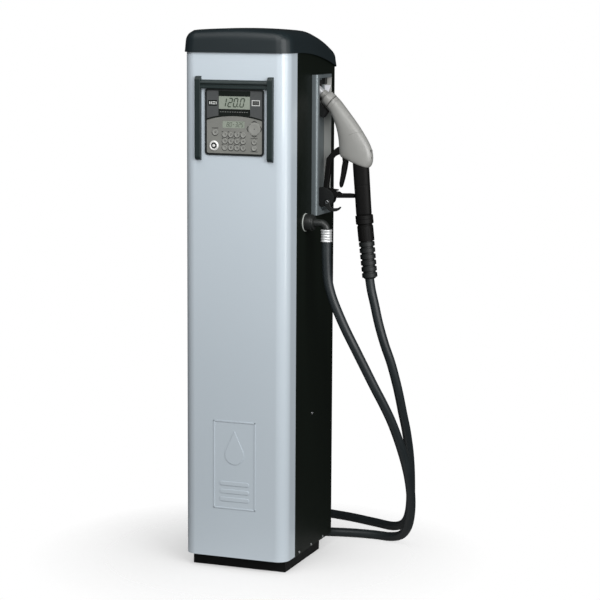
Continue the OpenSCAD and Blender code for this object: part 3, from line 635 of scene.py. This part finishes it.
lcd_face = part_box("display_modules")[0].y
ink_face, digit_lean = lcd_face - 0.00016, 0.21
lcd_ink = finish("lcd_ink", (0.03, 0.045, 0.03), (0.04, 0.055, 0.038), 0.4,
                 grain=2400, depth=0.01, patch=30)
bm = bmesh.new()
for shape, x in (("1", -0.04), ("2", -0.0212), ("0", -0.0042), ("0", 0.016)):
    figure(bm, shape, (x, 1.3762), 0.0108, 0.024, 0.0032, digit_lean, ink_face)
box_block(bm, (0.0092, ink_face, 1.375), (0.0124, lcd_face + 0.00006, 1.3782))
for i, shape in enumerate("80-325"):
    figure(bm, shape, (-0.0245 + 0.0088 * i, 1.319), 0.0056, 0.0122, 0.0012, digit_lean,
           ink_face)
shell_piece(bm, "display_figures", "cabinet", "display_glass", lcd_ink)

# key caps: shallow dished discs, each with its own moulded figure
key_grey = finish("key_grey", (0.215, 0.218, 0.202), (0.258, 0.262, 0.244), 0.4,
                  grain=2800, depth=0.04, patch=60)
mark_length, mark_weight, mark_sunk = 0.0056, 0.001, 0.00062


def round_cap(name, centre, radius, mark):
    """A dished key cap with a dark figure, on its own body."""
    x, z = centre
    top, root = (corner.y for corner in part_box(name))
    depth = root - top
    turned_piece([(0, 0), (radius - 0.0002, 0), (radius, 0.0003), (radius, depth - 0.0007),
                  (radius - 0.0002, depth - 0.0003), (radius - 0.0007, depth),
                  (radius - 0.0014, depth - 0.0001), (radius * 0.55, depth - 0.0006),
                  (0, depth - 0.0008)], (x, root, z), towards_user, 40,
                 name + "_cap", name, "key_rubber", key_grey, [name])
    bm = bmesh.new()
    if mark in figure_bars:
        figure(bm, mark, (x - 0.0019, z - 0.0028), 0.0032, mark_length, 0.0009, 0.12, top + mark_sunk)
    else:
        # a plus is a minus with a second bar across it
        bars = [(mark_length / 2, mark_weight / 2), (mark_weight / 2, mark_length / 2)]
        for wide, tall in bars[:1 + (mark == "+")]:
            box_block(bm, (x - wide, top + mark_sunk, z - tall), (x + wide, top + 0.0008, z + tall))
    shell_piece(bm, name + "_figure", name, "key_rubber", print_dark)


for i, mark in enumerate("123-456+7890"):
    name = "key_r%dc%d" % (i // 4 + 1, i % 4 + 1)
    round_cap(name, (key_columns[i % 4], key_rows[i // 4]), key_radius, mark)
for name, centre, mark in preset_keys:
    round_cap(name, centre, key_radius, mark)
round_cap("start_key", start_centre, start_radius, "+")

# painted shadow: dark half-moons laid round the lower side of each cap, standing in for the shade that
# the keys' lower edges throw
bm = bmesh.new()
for (x, z), radius in ([((x, z), key_radius) for x in key_columns for z in key_rows]
                       + [(centre, key_radius) for _, centre, _ in preset_keys]
                       + [(start_centre, start_radius)]):
    outer = arc_points((x - 0.0003, z - 0.0004), radius + 0.0014, 175, 345, 18)
    inner = arc_points((x, z), radius + 0.0004, 345, 175, 18)
    outline_plate(bm, outer + inner, fascia_face - 0.00015, 0.0002)
shell_piece(bm, "key_painted_shadows", "cabinet", "keypad_membrane", print_dark)

# the eight-sided pad, crowned, with four dark arrow marks round it and a centre dot
pad_low, pad_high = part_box("navigation_pad")
pad_centre = ((pad_low.x + pad_high.x) / 2, (pad_low.z + pad_high.z) / 2)
bm = bmesh.new()
pad_depth = pad_high.y - pad_low.y
turned(bm, [(0, 0), (0.0196, 0), (0.0198, 0.001), (0.0198, pad_depth - 0.0012),
            (0.019, pad_depth - 0.0004), (0.015, pad_depth), (0.0135, pad_depth - 0.0003),
            (0.005, pad_depth - 0.0006), (0, pad_depth - 0.0007)],
       (pad_centre[0], pad_high.y, pad_centre[1]), towards_user, 8)
turn_verts(bm, bm.verts, (pad_centre[0], 0, pad_centre[1]), 22.5, "Y")
shell_piece(bm, "navigation_cap", "navigation_pad", "key_rubber", key_grey, ["navigation_pad"],
            sharp=25.0)
turned_piece(mm((0, 0), (1.4, 0), (1.4, 0.2), (0, 0.2)),
             (pad_centre[0], pad_low.y + 0.0008, pad_centre[1]), towards_user, 16,
             "navigation_dot", "navigation_pad", "key_rubber", print_dark)
bm = bmesh.new()
for turn in (0, 90, 180, 270):
    before = set(bm.verts)
    x, z = pad_centre
    outline_plate(bm, [(x - 0.0085, z + 0.0198), (x, z + 0.024), (x + 0.0085, z + 0.0198),
                       (x + 0.007, z + 0.0182), (x, z + 0.0214), (x - 0.007, z + 0.0182)],
                  fascia_face - 0.00015, 0.0002)
    turn_verts(bm, fresh_verts(bm, before), (x, 0, z), turn, "Y")
shell_piece(bm, "navigation_marks", "cabinet", "keypad_membrane", print_dark)

# key reader: a plated dished ring round a dark well with a light contact button
reader_chrome = finish("reader_chrome", (0.74, 0.74, 0.72), (0.82, 0.82, 0.8), 0.3,
                       metallic=0.2, grain=3000, depth=0.01, patch=80)
reader_low, reader_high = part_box("key_reader")
reader_at = ((reader_low.x + reader_high.x) / 2, reader_high.y, (reader_low.z + reader_high.z) / 2)
reader_depth = reader_high.y - reader_low.y
for name, profile, material in (
        ("reader_ring", [(0.0085, 0), (0.0149, 0), (0.0149, reader_depth - 0.003),
                         (0.0138, reader_depth - 0.001), (0.0118, reader_depth),
                         (0.0095, reader_depth - 0.0005), (0.0085, reader_depth - 0.0024),
                         (0.0085, 0)], reader_chrome),
        ("reader_well", [(0, 0), (0.0084, 0), (0.0084, reader_depth - 0.0022),
                         (0.005, reader_depth - 0.0024), (0, reader_depth - 0.0024)], panel_black),
        ("reader_button", [(0, 0), (0.0042, 0), (0.0042, reader_depth - 0.001),
                           (0.0034, reader_depth - 0.0003), (0, reader_depth - 0.0001)],
         reader_chrome)):
    turned_piece(profile, reader_at, towards_user, 40, name, "cabinet", "reader_chrome", material,
                 ["key_reader"] if name == "reader_ring" else ())


# ---- Nozzle tray ----
# A pressed stainless tray with rolled front and rear edges, let into the right
# side panel, brushed lengthwise; a ribbed ledge at its foot and a black boot.
tray_steel = finish("tray_steel", (0.115, 0.142, 0.154), (0.215, 0.245, 0.255), 0.34,
                    metallic=0.4, grain=340, depth=0.06, patch=26,
                    stretch=(1, 1, 0.06))
# painted light: a lighter copy of the tray steel, for the rear wall that faces the lamps
tray_steel_painted_lit = finish("tray_steel_painted_lit", (0.46, 0.465, 0.44), (0.62, 0.625, 0.6), 0.36,
                     metallic=0.3, grain=340, depth=0.06, patch=26,
                     stretch=(1, 1, 0.06))
boot_black = finish("boot_black", (0.007, 0.008, 0.008), (0.012, 0.013, 0.013), 0.5,
                    grain=1700, depth=0.1, patch=16, specular=0.4)
dress(tray_steel, "nozzle_tray", "drip_ledge")
dress(boot_black, "spout_boot")
# a brushed plate in a lighter copy of the tray steel on the tray's rear wall, painted light where that
# wall faces the lamps, with a light patch on it, and a dark stop above the boot
bm = bmesh.new()
box_block(bm, (0.1572, 0.1215, 1.065), (0.1797, 0.122, 1.4535), corner=0.0004)
shell_piece(bm, "tray_painted_light_wall", "cabinet", "tray_steel", tray_steel_painted_lit)
bm = bmesh.new()
box_block(bm, (0.157, 0.101, 1.433), (0.1665, 0.122, 1.453), corner=0.003)
shell_piece(bm, "tray_stop", "cabinet", "black_moulding", boot_black)
bm = bmesh.new()
outline_plate(bm, mm((160.5, 1408), (170, 1408), (177.5, 1430), (157.5, 1430)),
              0.121, 0.0006)
shell_piece(bm, "tray_patch", "cabinet", "tray_steel",
            finish("patch_white", (0.84, 0.84, 0.9), (0.92, 0.92, 0.96), 0.4, grain=1500))

# cradle cheeks and the lever that the hung nozzle holds down
nozzle_plane = 0.075
lever_pin = (0.192, 1.086)
cheek = mm((157, 1078), (157, 1126), (175, 1130), (190, 1126.5), (200, 1120), (207, 1113), (211, 1104),
           (210.8, 1095), (208, 1086), (201, 1079), (192, 1074), (172, 1070))
bm = bmesh.new()
cheek_gap, cheek_thick = 0.017, 0.005
for start in (-cheek_gap / 2 - cheek_thick, cheek_gap / 2):
    outline_plate(bm, cheek, nozzle_plane + start, cheek_thick, rim=0.001)
box_block(bm, (0.1572, nozzle_plane - cheek_gap / 2, 1.078),
          (0.166, nozzle_plane + cheek_gap / 2, 1.118))
turned(bm, mm((0, 0), (3, 0), (3, 6.5), (0, 6.5)),
       (lever_pin[0], nozzle_plane - 0.0135, lever_pin[1]), towards_user, 24)
shell_piece(bm, "cradle_moulding", "cabinet", "black_moulding", boot_black, ["nozzle_cradle"])
bm = bmesh.new()
lever_front = nozzle_plane - 0.0188
hook = mm((184.5, 1081), (186.2, 1073), (189.5, 1066.5), (197.5, 1060.3), (210.5, 1057.7),
          (221.5, 1059.1), (229.5, 1063.2), (234, 1067.8), (236.3, 1071.8), (235.2, 1073.2),
          (232.8, 1073.3), (229, 1071), (224.5, 1069), (211, 1068.1), (204, 1070.8), (200.3, 1079),
          (200.8, 1087), (197.5, 1092.8), (191.5, 1094.8), (185.8, 1091.8), (183.3, 1086.5))
outline_plate(bm, hook, lever_front, 0.005, rim=0.0012, segments=3)
shell_piece(bm, "lever_hook", "switch_lever", "black_moulding", boot_black, ["switch_lever"])
turned_piece(mm((0, 0), (5.2, 0), (5.2, 0.8), (4, 1.3), (2.6, 1.3), (2, 0.6), (0, 0.6)),
             (lever_pin[0], lever_front + 0.0002, lever_pin[1]), towards_user, 24,
             "lever_screw", "switch_lever", "screw_zinc", screw_zinc)


# ---- Outlet and hose end ----
# A light washer, a black bulkhead nut and a cast elbow that turns down into a
# bright zinc ferrule crimped on the hose.
outlet = Vector((0.162, -0.047, 1.034))
fitting_black = finish("fitting_black", (0.013, 0.015, 0.014), (0.022, 0.024, 0.023), 0.4,
                       grain=1200, depth=0.1, patch=22)
ring_grey = finish("ring_grey", (0.42, 0.45, 0.42), (0.5, 0.53, 0.5), 0.35, grain=1800)
ferrule_zinc = finish("ferrule_zinc", (0.56, 0.57, 0.57), (0.7, 0.71, 0.71), 0.32,
                      metallic=0.45, depth=0.1, patch=120)
turned_piece(mm((15, 0), (26.8, 0), (27, 0.3), (27, 1.8), (26.2, 2.5), (15, 2.5), (15, 0)),
             outlet, (1, 0, 0), 64, "outlet_washer", "cabinet", "ring_plastic", ring_grey,
             ["outlet_ring"])
bm = bmesh.new()
turned(bm, mm((0, 2.5), (24.3, 2.5), (25, 3.3), (25, 21.5), (24.3, 22.5), (21.3, 22.6), (21, 23.2),
              (21, 28), (20.2, 28.8), (0, 28.9)), outlet, (1, 0, 0), 64)
for i in range(12):
    before = set(bm.verts)
    box_block(bm, (outlet.x + 0.004, outlet.y - 0.0022, outlet.z + 0.024),
              (outlet.x + 0.021, outlet.y + 0.0022, outlet.z + 0.0248), along="x", rim=0.0003)
    turn_verts(bm, fresh_verts(bm, before), outlet, 30 * i, "X")
shell_piece(bm, "bulkhead_nut", "cabinet", "fitting_black", fitting_black, ["bulkhead_fitting"])
bend = 0.018
elbow_line = ([outlet + Vector((0.0285 + 0.002 * i, 0, 0)) for i in range(10)]
              + [Vector((0.211 + bend * math.sin(math.radians(a)), outlet.y,
                         outlet.z - bend + bend * math.cos(math.radians(a))))
                 for a in range(0, 91, 6)])
elbow = place(tube("elbow_tube", elbow_line, 0.011, 32), "elbow_tube")
elbow.data.materials.append(fitting_black)
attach(elbow, "cabinet")
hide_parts("outlet_elbow")
crimps = mm((0, 0), (16.2, 0), (17, 0.6), (17, 3.4), (15.8, 4.8), (15.2, 6.2), (16.3, 8.2), (16.3, 11.2),
            (15, 12.8), (15, 14.2), (16.3, 15.8), (16.3, 18.8), (15, 20.4), (15, 21.8), (16.3, 23.4),
            (16.3, 26.4), (15.3, 28), (15.8, 29.6), (17, 31.2), (17, 34.8), (16, 36), (0, 36))
turned_piece(crimps, hose_route[0], (0, 0, 1), 56, "crimped_ferrule", "cabinet", "ferrule_zinc",
             ferrule_zinc, ["hose_ferrule"], sharp=50.0)


# ---- Nozzle ----
# An aluminium spout in a light warm-grey moulded cover with a collar at its
# neck, over a black grip, guard and trigger; it hangs with its spout in the boot.
slope = math.atan2(0.636078, 0.771625)
away = Vector((math.cos(slope), 0, -math.sin(slope)))
neck = Vector((0.183, nozzle_plane, 1.396))
spout_alloy = finish("spout_alloy", (0.64, 0.65, 0.67), (0.73, 0.74, 0.76), 0.3, metallic=0.4,
                     grain=1200, depth=0.03, patch=20)
nozzle_grey, shell_grey = (
    finish(name, (0.25, 0.25, 0.238), (0.28, 0.28, 0.267), 0.36, grain=700, depth=0.01,
           patch=8, coat=0.1) for name in ("nozzle_grey", "shell_grey"))
seam_half_width = 0.0005
seam_tone = (0.15, 0.15, 0.14, 1.0)


def cut_seams(material, seams):
    """Darkens thin arcs in a finish: each a circle round a point in X and Z, beyond an X."""
    tree = material.node_tree
    where = add_node(tree, "ShaderNodeTexCoord").outputs["Object"]
    across = add_node(tree, "ShaderNodeSeparateXYZ", {"Vector": where}).outputs["X"]

    def worked_out(operation, *values, kind="Math", result="Value"):
        return add_node(tree, "ShaderNode" + kind, dict(enumerate(values)),
                        operation=operation).outputs[result]

    mask = 0.0
    for (x, z), radius, first_x in seams:
        offset = worked_out("SUBTRACT", where, (x, 0, z), kind="VectorMath", result="Vector")
        flat = worked_out("MULTIPLY", offset, (1, 0, 1), kind="VectorMath", result="Vector")
        reach = worked_out("LENGTH", flat, kind="VectorMath")
        near = worked_out("COMPARE", reach, radius, seam_half_width)
        beyond = worked_out("GREATER_THAN", across, first_x)
        mask = worked_out("MAXIMUM", mask, worked_out("MULTIPLY", near, beyond))
    painted = tree.nodes["Principled BSDF"].inputs["Base Color"]
    scored = add_node(tree, "ShaderNodeMix", {
        "A": painted.links[0].from_socket, "B": seam_tone, "Factor": mask}, data_type="RGBA")
    tree.links.new(scored.outputs["Result"], painted)


end_seam, side_seam = ((0.299, 1.217), 0.08, 0.26), ((0.53, 1.15), 0.392, 0.15)
cut_seams(shell_grey, [end_seam, side_seam])
grip_black = finish("grip_black", (0.003, 0.0029, 0.0028), (0.0055, 0.0053, 0.005), 0.56,
                    grain=2600, depth=0.2, patch=12, specular=0.16)
seam_black = finish("seam_black", (0.055, 0.053, 0.05), (0.075, 0.072, 0.068), 0.6, grain=2000)
spout_profile = mm((9.5, -126), (10.8, -126), (11.5, -124.5), (11.5, -113), (11.2, -112.4),
                   (11.5, -111.8), (11.5, -19), (9.5, -19), (9.5, -126))
turned_piece(spout_profile, neck, away, 48, "spout_tube", "nozzle", "spout_aluminium", spout_alloy,
             ["spout"])
collar_profile = mm((11.6, -18.5), (12.8, -18.5), (14, -17.2), (14, -8), (15, -6.8), (17.2, -6.2),
                    (17.6, -5.2), (17.6, -3.6), (19, -2.4), (21.2, -1.6), (22.1, 0), (22.4, 8),
                    (22.5, 17), (22.1, 18.6), (21.3, 19.2), (0, 19.2))
turned_piece(collar_profile, neck, away, 64, "neck_collar", "nozzle", "nozzle_plastic", nozzle_grey,
             ["spout_collar"])
turned_piece(mm((0, 19), (21.1, 19), (21.1, 20.6), (0, 20.6)), neck, away, 64,
             "neck_seam", "nozzle", "nozzle_plastic", seam_black)


def rounded_ring(middle, half, thick, power, sides=28):
    """A rounded oblong of points about the nozzle's plane, from its middle and its half widths."""
    ring = []
    for i in range(sides):
        c, s = (turn(math.tau * i / sides) for turn in (math.cos, math.sin))
        c, s = (math.copysign(abs(share) ** (2 / power), share) for share in (c, s))
        ring.append(middle + half * c + Vector((0, nozzle_plane + thick * s, 0)))
    return ring


def section_ring(upper_x, upper_z, lower_x, lower_z, thick):
    """A section of the nozzle's cover, between an upper and a lower point."""
    high, low = Vector((upper_x, 0, upper_z)), Vector((lower_x, 0, lower_z))
    return rounded_ring((high + low) / 2, (high - low) / 2, thick, 2.35)


def lofted(bm, rings):
    """A closed skin through a run of rings."""
    loops = []
    for ring in rings:
        verts = [bm.verts.new(at) for at in ring]
        loops.append([bm.edges.new((verts[i - 1], verts[i])) for i in range(len(verts))])
        if len(loops) in (1, len(rings)):
            bm.faces.new(verts)
    for first, second in zip(loops, loops[1:]):
        bmesh.ops.bridge_loops(bm, edges=first + second)


stations = mm((212.2, 1399.8, 184.4, 1366, 21.5), (213.5, 1398.4, 186, 1364.5, 21.9),
              (226.2, 1386, 193, 1355.5, 22.2), (227, 1385, 193.6, 1354.6, 21.7),
              (227.8, 1384, 194.2, 1353.7, 22.2), (240, 1369.5, 201, 1341, 22.4),
              (257, 1348.5, 210.5, 1319, 22.6), (275, 1326.5, 217.5, 1296, 22.8),
              (292, 1303.5, 221.5, 1273, 22.9), (308, 1279.5, 222.8, 1253, 22.9),
              (320, 1259, 223.5, 1235, 22.8), (327.8, 1238, 225, 1224.5, 22.6),
              (329.8, 1219, 233, 1218, 22.2), (327, 1202, 248, 1212, 21.2), (320, 1192.5, 268, 1204, 19),
              (313, 1189.5, 288, 1196.5, 14))
bm = bmesh.new()
lofted(bm, [section_ring(*station) for station in stations])
cover = shell_piece(bm, "nozzle_shell", "nozzle", "nozzle_plastic", shell_grey,
                    ["nozzle_cover"], sharp=60.0)
smooth = cover.modifiers.new("smooth", "SUBSURF")
smooth.levels = smooth.render_levels = 2
cover.modifiers.move(1, 0)

# an inset near the shell's lower end, without any lettering
bm = bmesh.new()
inset_half_width = 0.0085
box_block(bm, (0.314, nozzle_plane - inset_half_width, 1.218),
          (0.3262, nozzle_plane + inset_half_width, 1.244), along="z", corner=0.002, rim=0.001)
turn_verts(bm, bm.verts, (0.32, 0, 1.231), -7.0, "Y")
shell_piece(bm, "shell_inset", "nozzle", "nozzle_plastic", boot_black)

# the grip: a rounded bar that leans back a little, in two moulded lengths
grip_tilt = 6.3
tilt_sine, tilt_cosine = math.sin(math.radians(grip_tilt)), math.cos(math.radians(grip_tilt))
grip_axis = Vector((tilt_sine, 0, -tilt_cosine))
grip_across = Vector((tilt_cosine, 0, tilt_sine))
grip_start, grip_end = Vector((0.2905, 0, 1.209)), Vector((0.3026, 0, 1.05))


def grip_ring(share, wide, deep):
    """A section of the grip, at a share of the way down it."""
    return rounded_ring(grip_start.lerp(grip_end, share), grip_across * wide, deep, 2.5)


bm = bmesh.new()
lofted(bm, [grip_ring(*row) for row in (
    (0.0, 0.0242, 0.0168), (0.1, 0.0243, 0.0169), (0.42, 0.024, 0.0169),
    (0.44, 0.024, 0.0169), (0.446, 0.0234, 0.0163), (0.452, 0.0239, 0.0168),
    (0.47, 0.0239, 0.0168), (0.8, 0.0236, 0.0169), (0.965, 0.0235, 0.0169),
    (0.985, 0.0232, 0.0166), (1.0, 0.0222, 0.0156))])
shell_piece(bm, "grip_sleeve", "nozzle", "grip_rubber", grip_black, ["grip"], sharp=50.0)

# guard and trigger: moulded bars with rounded edges
trigger_pin, latch_pin = (0.243, 1.205), (0.199, 1.1215)
bm = bmesh.new()
guard = mm((229, 1250), (220, 1250), (211, 1244), (197.5, 1231), (184, 1215), (181.5, 1193), (179, 1169),
           (176.3, 1145), (174.2, 1124), (174.8, 1115), (177.2, 1108), (183, 1102.8), (190, 1100),
           (206, 1098.5), (222, 1098), (248, 1099), (273, 1100), (272.5, 1112), (257, 1113),
           (243, 1112.3), (231, 1112), (224, 1117), (210, 1117.2), (196, 1117), (191.2, 1119.5),
           (190, 1124), (190, 1132), (192, 1148), (194, 1162), (196.5, 1182), (199, 1202), (204, 1214),
           (211, 1222), (218, 1225.5), (229, 1229))
guard_thick, trigger_thick, latch_thick = 0.014, 0.018, 0.0136
outline_plate(bm, guard, nozzle_plane - guard_thick / 2, guard_thick, rim=0.0022, segments=3)
for start in (-0.012, 0.0095):
    outline_plate(bm, arc_points(trigger_pin, 0.006, -210, 30, 14)
                  + mm((252, 1216), (236, 1220)), nozzle_plane + start, 0.0025,
                  rim=0.0005)
for start in (-0.0082, 0.007):
    outline_plate(bm, mm((192, 1112), (206, 1112), (204, 1125), (194, 1125)),
                  nozzle_plane + start, 0.0012)
for (x, z), radius, length, steps in ((trigger_pin, 0.0025, 0.024, 20),
                                      (latch_pin, 0.0016, 0.0164, 16)):
    turned(bm, [(0, 0), (radius, 0), (radius, length), (0, length)],
           (x, nozzle_plane - length / 2, z), (0, 1, 0), steps)
shell_piece(bm, "guard_bar", "nozzle", "grip_rubber", grip_black, ["trigger_guard"])
bm = bmesh.new()
trigger = (arc_points(trigger_pin, 0.007, 10, 150, 10)
           + mm((233.8, 1196), (232.2, 1184), (230.8, 1171), (228.4, 1157), (226.2, 1143),
                (226.6, 1136.5), (228.4, 1131.2), (231, 1129.2), (233.8, 1133.8), (236.5, 1141.5),
                (239, 1150), (242.5, 1164), (245.8, 1179), (248, 1191), (249.8, 1202)))
outline_plate(bm, trigger, nozzle_plane - trigger_thick / 2, trigger_thick, rim=0.0024, segments=3)
shell_piece(bm, "trigger_bar", "trigger", "grip_rubber", grip_black, ["trigger"])
bm = bmesh.new()
outline_plate(bm, arc_points(latch_pin, 0.0034, 90, 270, 10)
              + mm((216, 1118.1), (221.2, 1120.4), (219.8, 1123.3)),
              nozzle_plane - latch_thick / 2, latch_thick, rim=0.0007)
shell_piece(bm, "latch_bar", "hold_latch", "grip_rubber", grip_black, ["hold_latch"])

# swivel and ribbed bend restrictor, turned about the grip's axis
stub = Vector((0.3026, nozzle_plane, 1.052))
bm = bmesh.new()
turned(bm, mm((13.1, 2.2), (25.5, 2.2), (26.5, 3.4), (26.5, 13), (25.8, 13.6), (26.5, 14.2), (26.5, 26.8),
              (24.5, 28.5), (22.2, 29), (22, 30), (22, 33), (23.2, 33.7), (24, 34.7), (24, 78),
              (23.2, 79.4), (0, 79.4)),
       stub, grip_axis, 56)
for i in range(8):
    before = set(bm.verts)
    box_block(bm, (stub.x - 0.003, stub.y + 0.0235, stub.z - 0.074),
              (stub.x + 0.003, stub.y + 0.0245, stub.z - 0.04), along="z", rim=0.0003)
    turn_verts(bm, fresh_verts(bm, before), stub, 45 * i, "Z")
    turn_verts(bm, fresh_verts(bm, before), stub, -grip_tilt, "Y")
shell_piece(bm, "swivel_body", "hose_end", "grip_rubber", grip_black, ["hose_swivel"])
ribs, pitch, base = 6, 0.0186, 0.0796
profile = [(0, base), (0.019, base)]
for i in range(ribs):
    foot = base + i * pitch
    swell = 0.0235 - 0.00012 * i
    profile += [(0.019, foot + 0.0024), (swell - 0.0008, foot + 0.0027), (swell, foot + 0.0035),
                (swell, foot + 0.0148), (swell - 0.0008, foot + 0.0156), (0.019, foot + 0.016)]
profile += [(0.0188, base + ribs * pitch - 0.002), (0.017, base + ribs * pitch + 0.0004),
            (0.015, base + ribs * pitch + 0.0016), (0, base + ribs * pitch + 0.0016)]
restrictor_black = finish("restrictor_black", (0.004, 0.006, 0.006), (0.008, 0.01, 0.01), 0.52,
                          grain=1800, depth=0.1, patch=14)
turned_piece(profile, stub, grip_axis, 56, "restrictor_ribs", "hose_end", "hose_rubber",
             restrictor_black, ["bend_restrictor"])


# ---- Mains switch ----
# A black rotary switch on the left side panel: a round plate and a knob with a
# bar handle.
switch_centre = Vector((-0.162, -0.088, 1.115))
turned_piece(mm((6.1, 0), (30, 0), (30, 3), (29, 4), (6.1, 4), (6.1, 0)), switch_centre,
             (-1, 0, 0), 56, "switch_plate", "cabinet", "black_moulding", boot_black,
             ["mains_switch_plate"])
bm = turned(bmesh.new(), mm((0, 4.4), (27.2, 4.4), (28, 5.4), (24.3, 16.2), (23.4, 17.2), (0, 17.4)),
            switch_centre, (-1, 0, 0), 56)
box_block(bm, (switch_centre.x - 0.0274, switch_centre.y - 0.006, switch_centre.z - 0.026),
          (switch_centre.x - 0.0165, switch_centre.y + 0.006, switch_centre.z + 0.026),
          along="x", corner=0.003, rim=0.0015)
shell_piece(bm, "switch_knob", "mains_switch", "black_moulding", boot_black,
            ["mains_switch_knob"])


# ---- Floor, sky and lights ----
# A white studio: a pale floor that fades out into a white surround, two broad
# lights from the front, two from the right for the black side, and one on the floor.
floor_white = bpy.data.materials.new("floor_white")
floor_white.use_nodes = True
floor_tree = floor_white.node_tree
floor_shader = floor_tree.nodes["Principled BSDF"]
floor_shader.inputs["Base Color"].default_value = (0.93, 0.93, 0.93, 1.0)
floor_shader.inputs["Roughness"].default_value = 0.6
floor_shader.inputs["Specular IOR Level"].default_value = 0.1
clear = add_node(floor_tree, "ShaderNodeBsdfTransparent")
spot = add_node(floor_tree, "ShaderNodeTexCoord").outputs["Object"]
outward = add_node(floor_tree, "ShaderNodeVectorMath", {0: spot}, operation="LENGTH")
fade = add_node(floor_tree, "ShaderNodeMapRange", {
    "From Min": 0.18, "From Max": 0.7, "To Min": 0.4, "Value": outward.outputs["Value"]})
blend_out = add_node(floor_tree, "ShaderNodeMixShader", {
    "Fac": fade.outputs["Result"], 1: floor_shader.outputs["BSDF"], 2: clear.outputs["BSDF"]})
floor_tree.links.new(blend_out.outputs["Shader"],
                     floor_tree.nodes["Material Output"].inputs["Surface"])
bm = bmesh.new()
bmesh.ops.create_grid(bm, x_segments=2, y_segments=2, size=12.0)
floor_mesh = bpy.data.meshes.new("floor")
bm.to_mesh(floor_mesh)
bm.free()
floor = place(floor_mesh, "floor")
floor.data.materials.append(floor_white)

world = bpy.data.worlds.new("studio")
world.use_nodes = True
bpy.context.scene.world = world
sky_tree = world.node_tree
sky = sky_tree.nodes["Background"]
sky.inputs["Color"].default_value = (1.0, 1.0, 1.0, 1.0)
# white to the camera, and a dim fill to everything else, dimmer still in reflections
ray = add_node(sky_tree, "ShaderNodeLightPath").outputs
fill_level = add_node(sky_tree, "ShaderNodeMapRange", {
    "To Min": 0.16, "To Max": 0.035, "Value": ray["Is Glossy Ray"]})
level = add_node(sky_tree, "ShaderNodeMix", {
    "A": fill_level.outputs["Result"], "B": 1.0, "Factor": ray["Is Camera Ray"]})
sky_tree.links.new(level.outputs["Result"], sky.inputs["Strength"])


def soft_light(name, at, look_at, size, power):
    """A broad white area light aimed at a point."""
    data = bpy.data.lights.new(name, "AREA")
    data.shape = "RECTANGLE"
    data.size, data.size_y = size
    data.energy = power
    light = bpy.data.objects.new(name, data)
    light.location = at
    light.rotation_euler = (Vector(look_at) - Vector(at)).to_track_quat("-Z", "Y").to_euler()
    bpy.context.scene.collection.objects.link(light)


soft_light("key", (0.5, -2.0, 2.8), (0, 0, 1.15), (1.6, 1.6), 25.0)
soft_light("front", (-0.2, -4.4, 2.7), (0, 0, 1.3), (2.2, 2.2), 28.0)
soft_light("fill", (2.7, -2.3, 2.1), (0.2, 0, 1.0), (1.6, 2.2), 84.0)
soft_light("side", (3.4, -0.9, 1.5), (0.16, -0.16, 0.9), (1.2, 2.4), 32.0)
soft_light("floor_wash", (-0.6, -1.6, 3.6), (0, 0.1, 0), (1.6, 1.6), 26.0)

bpy.context.scene.view_settings.view_transform = "Standard"
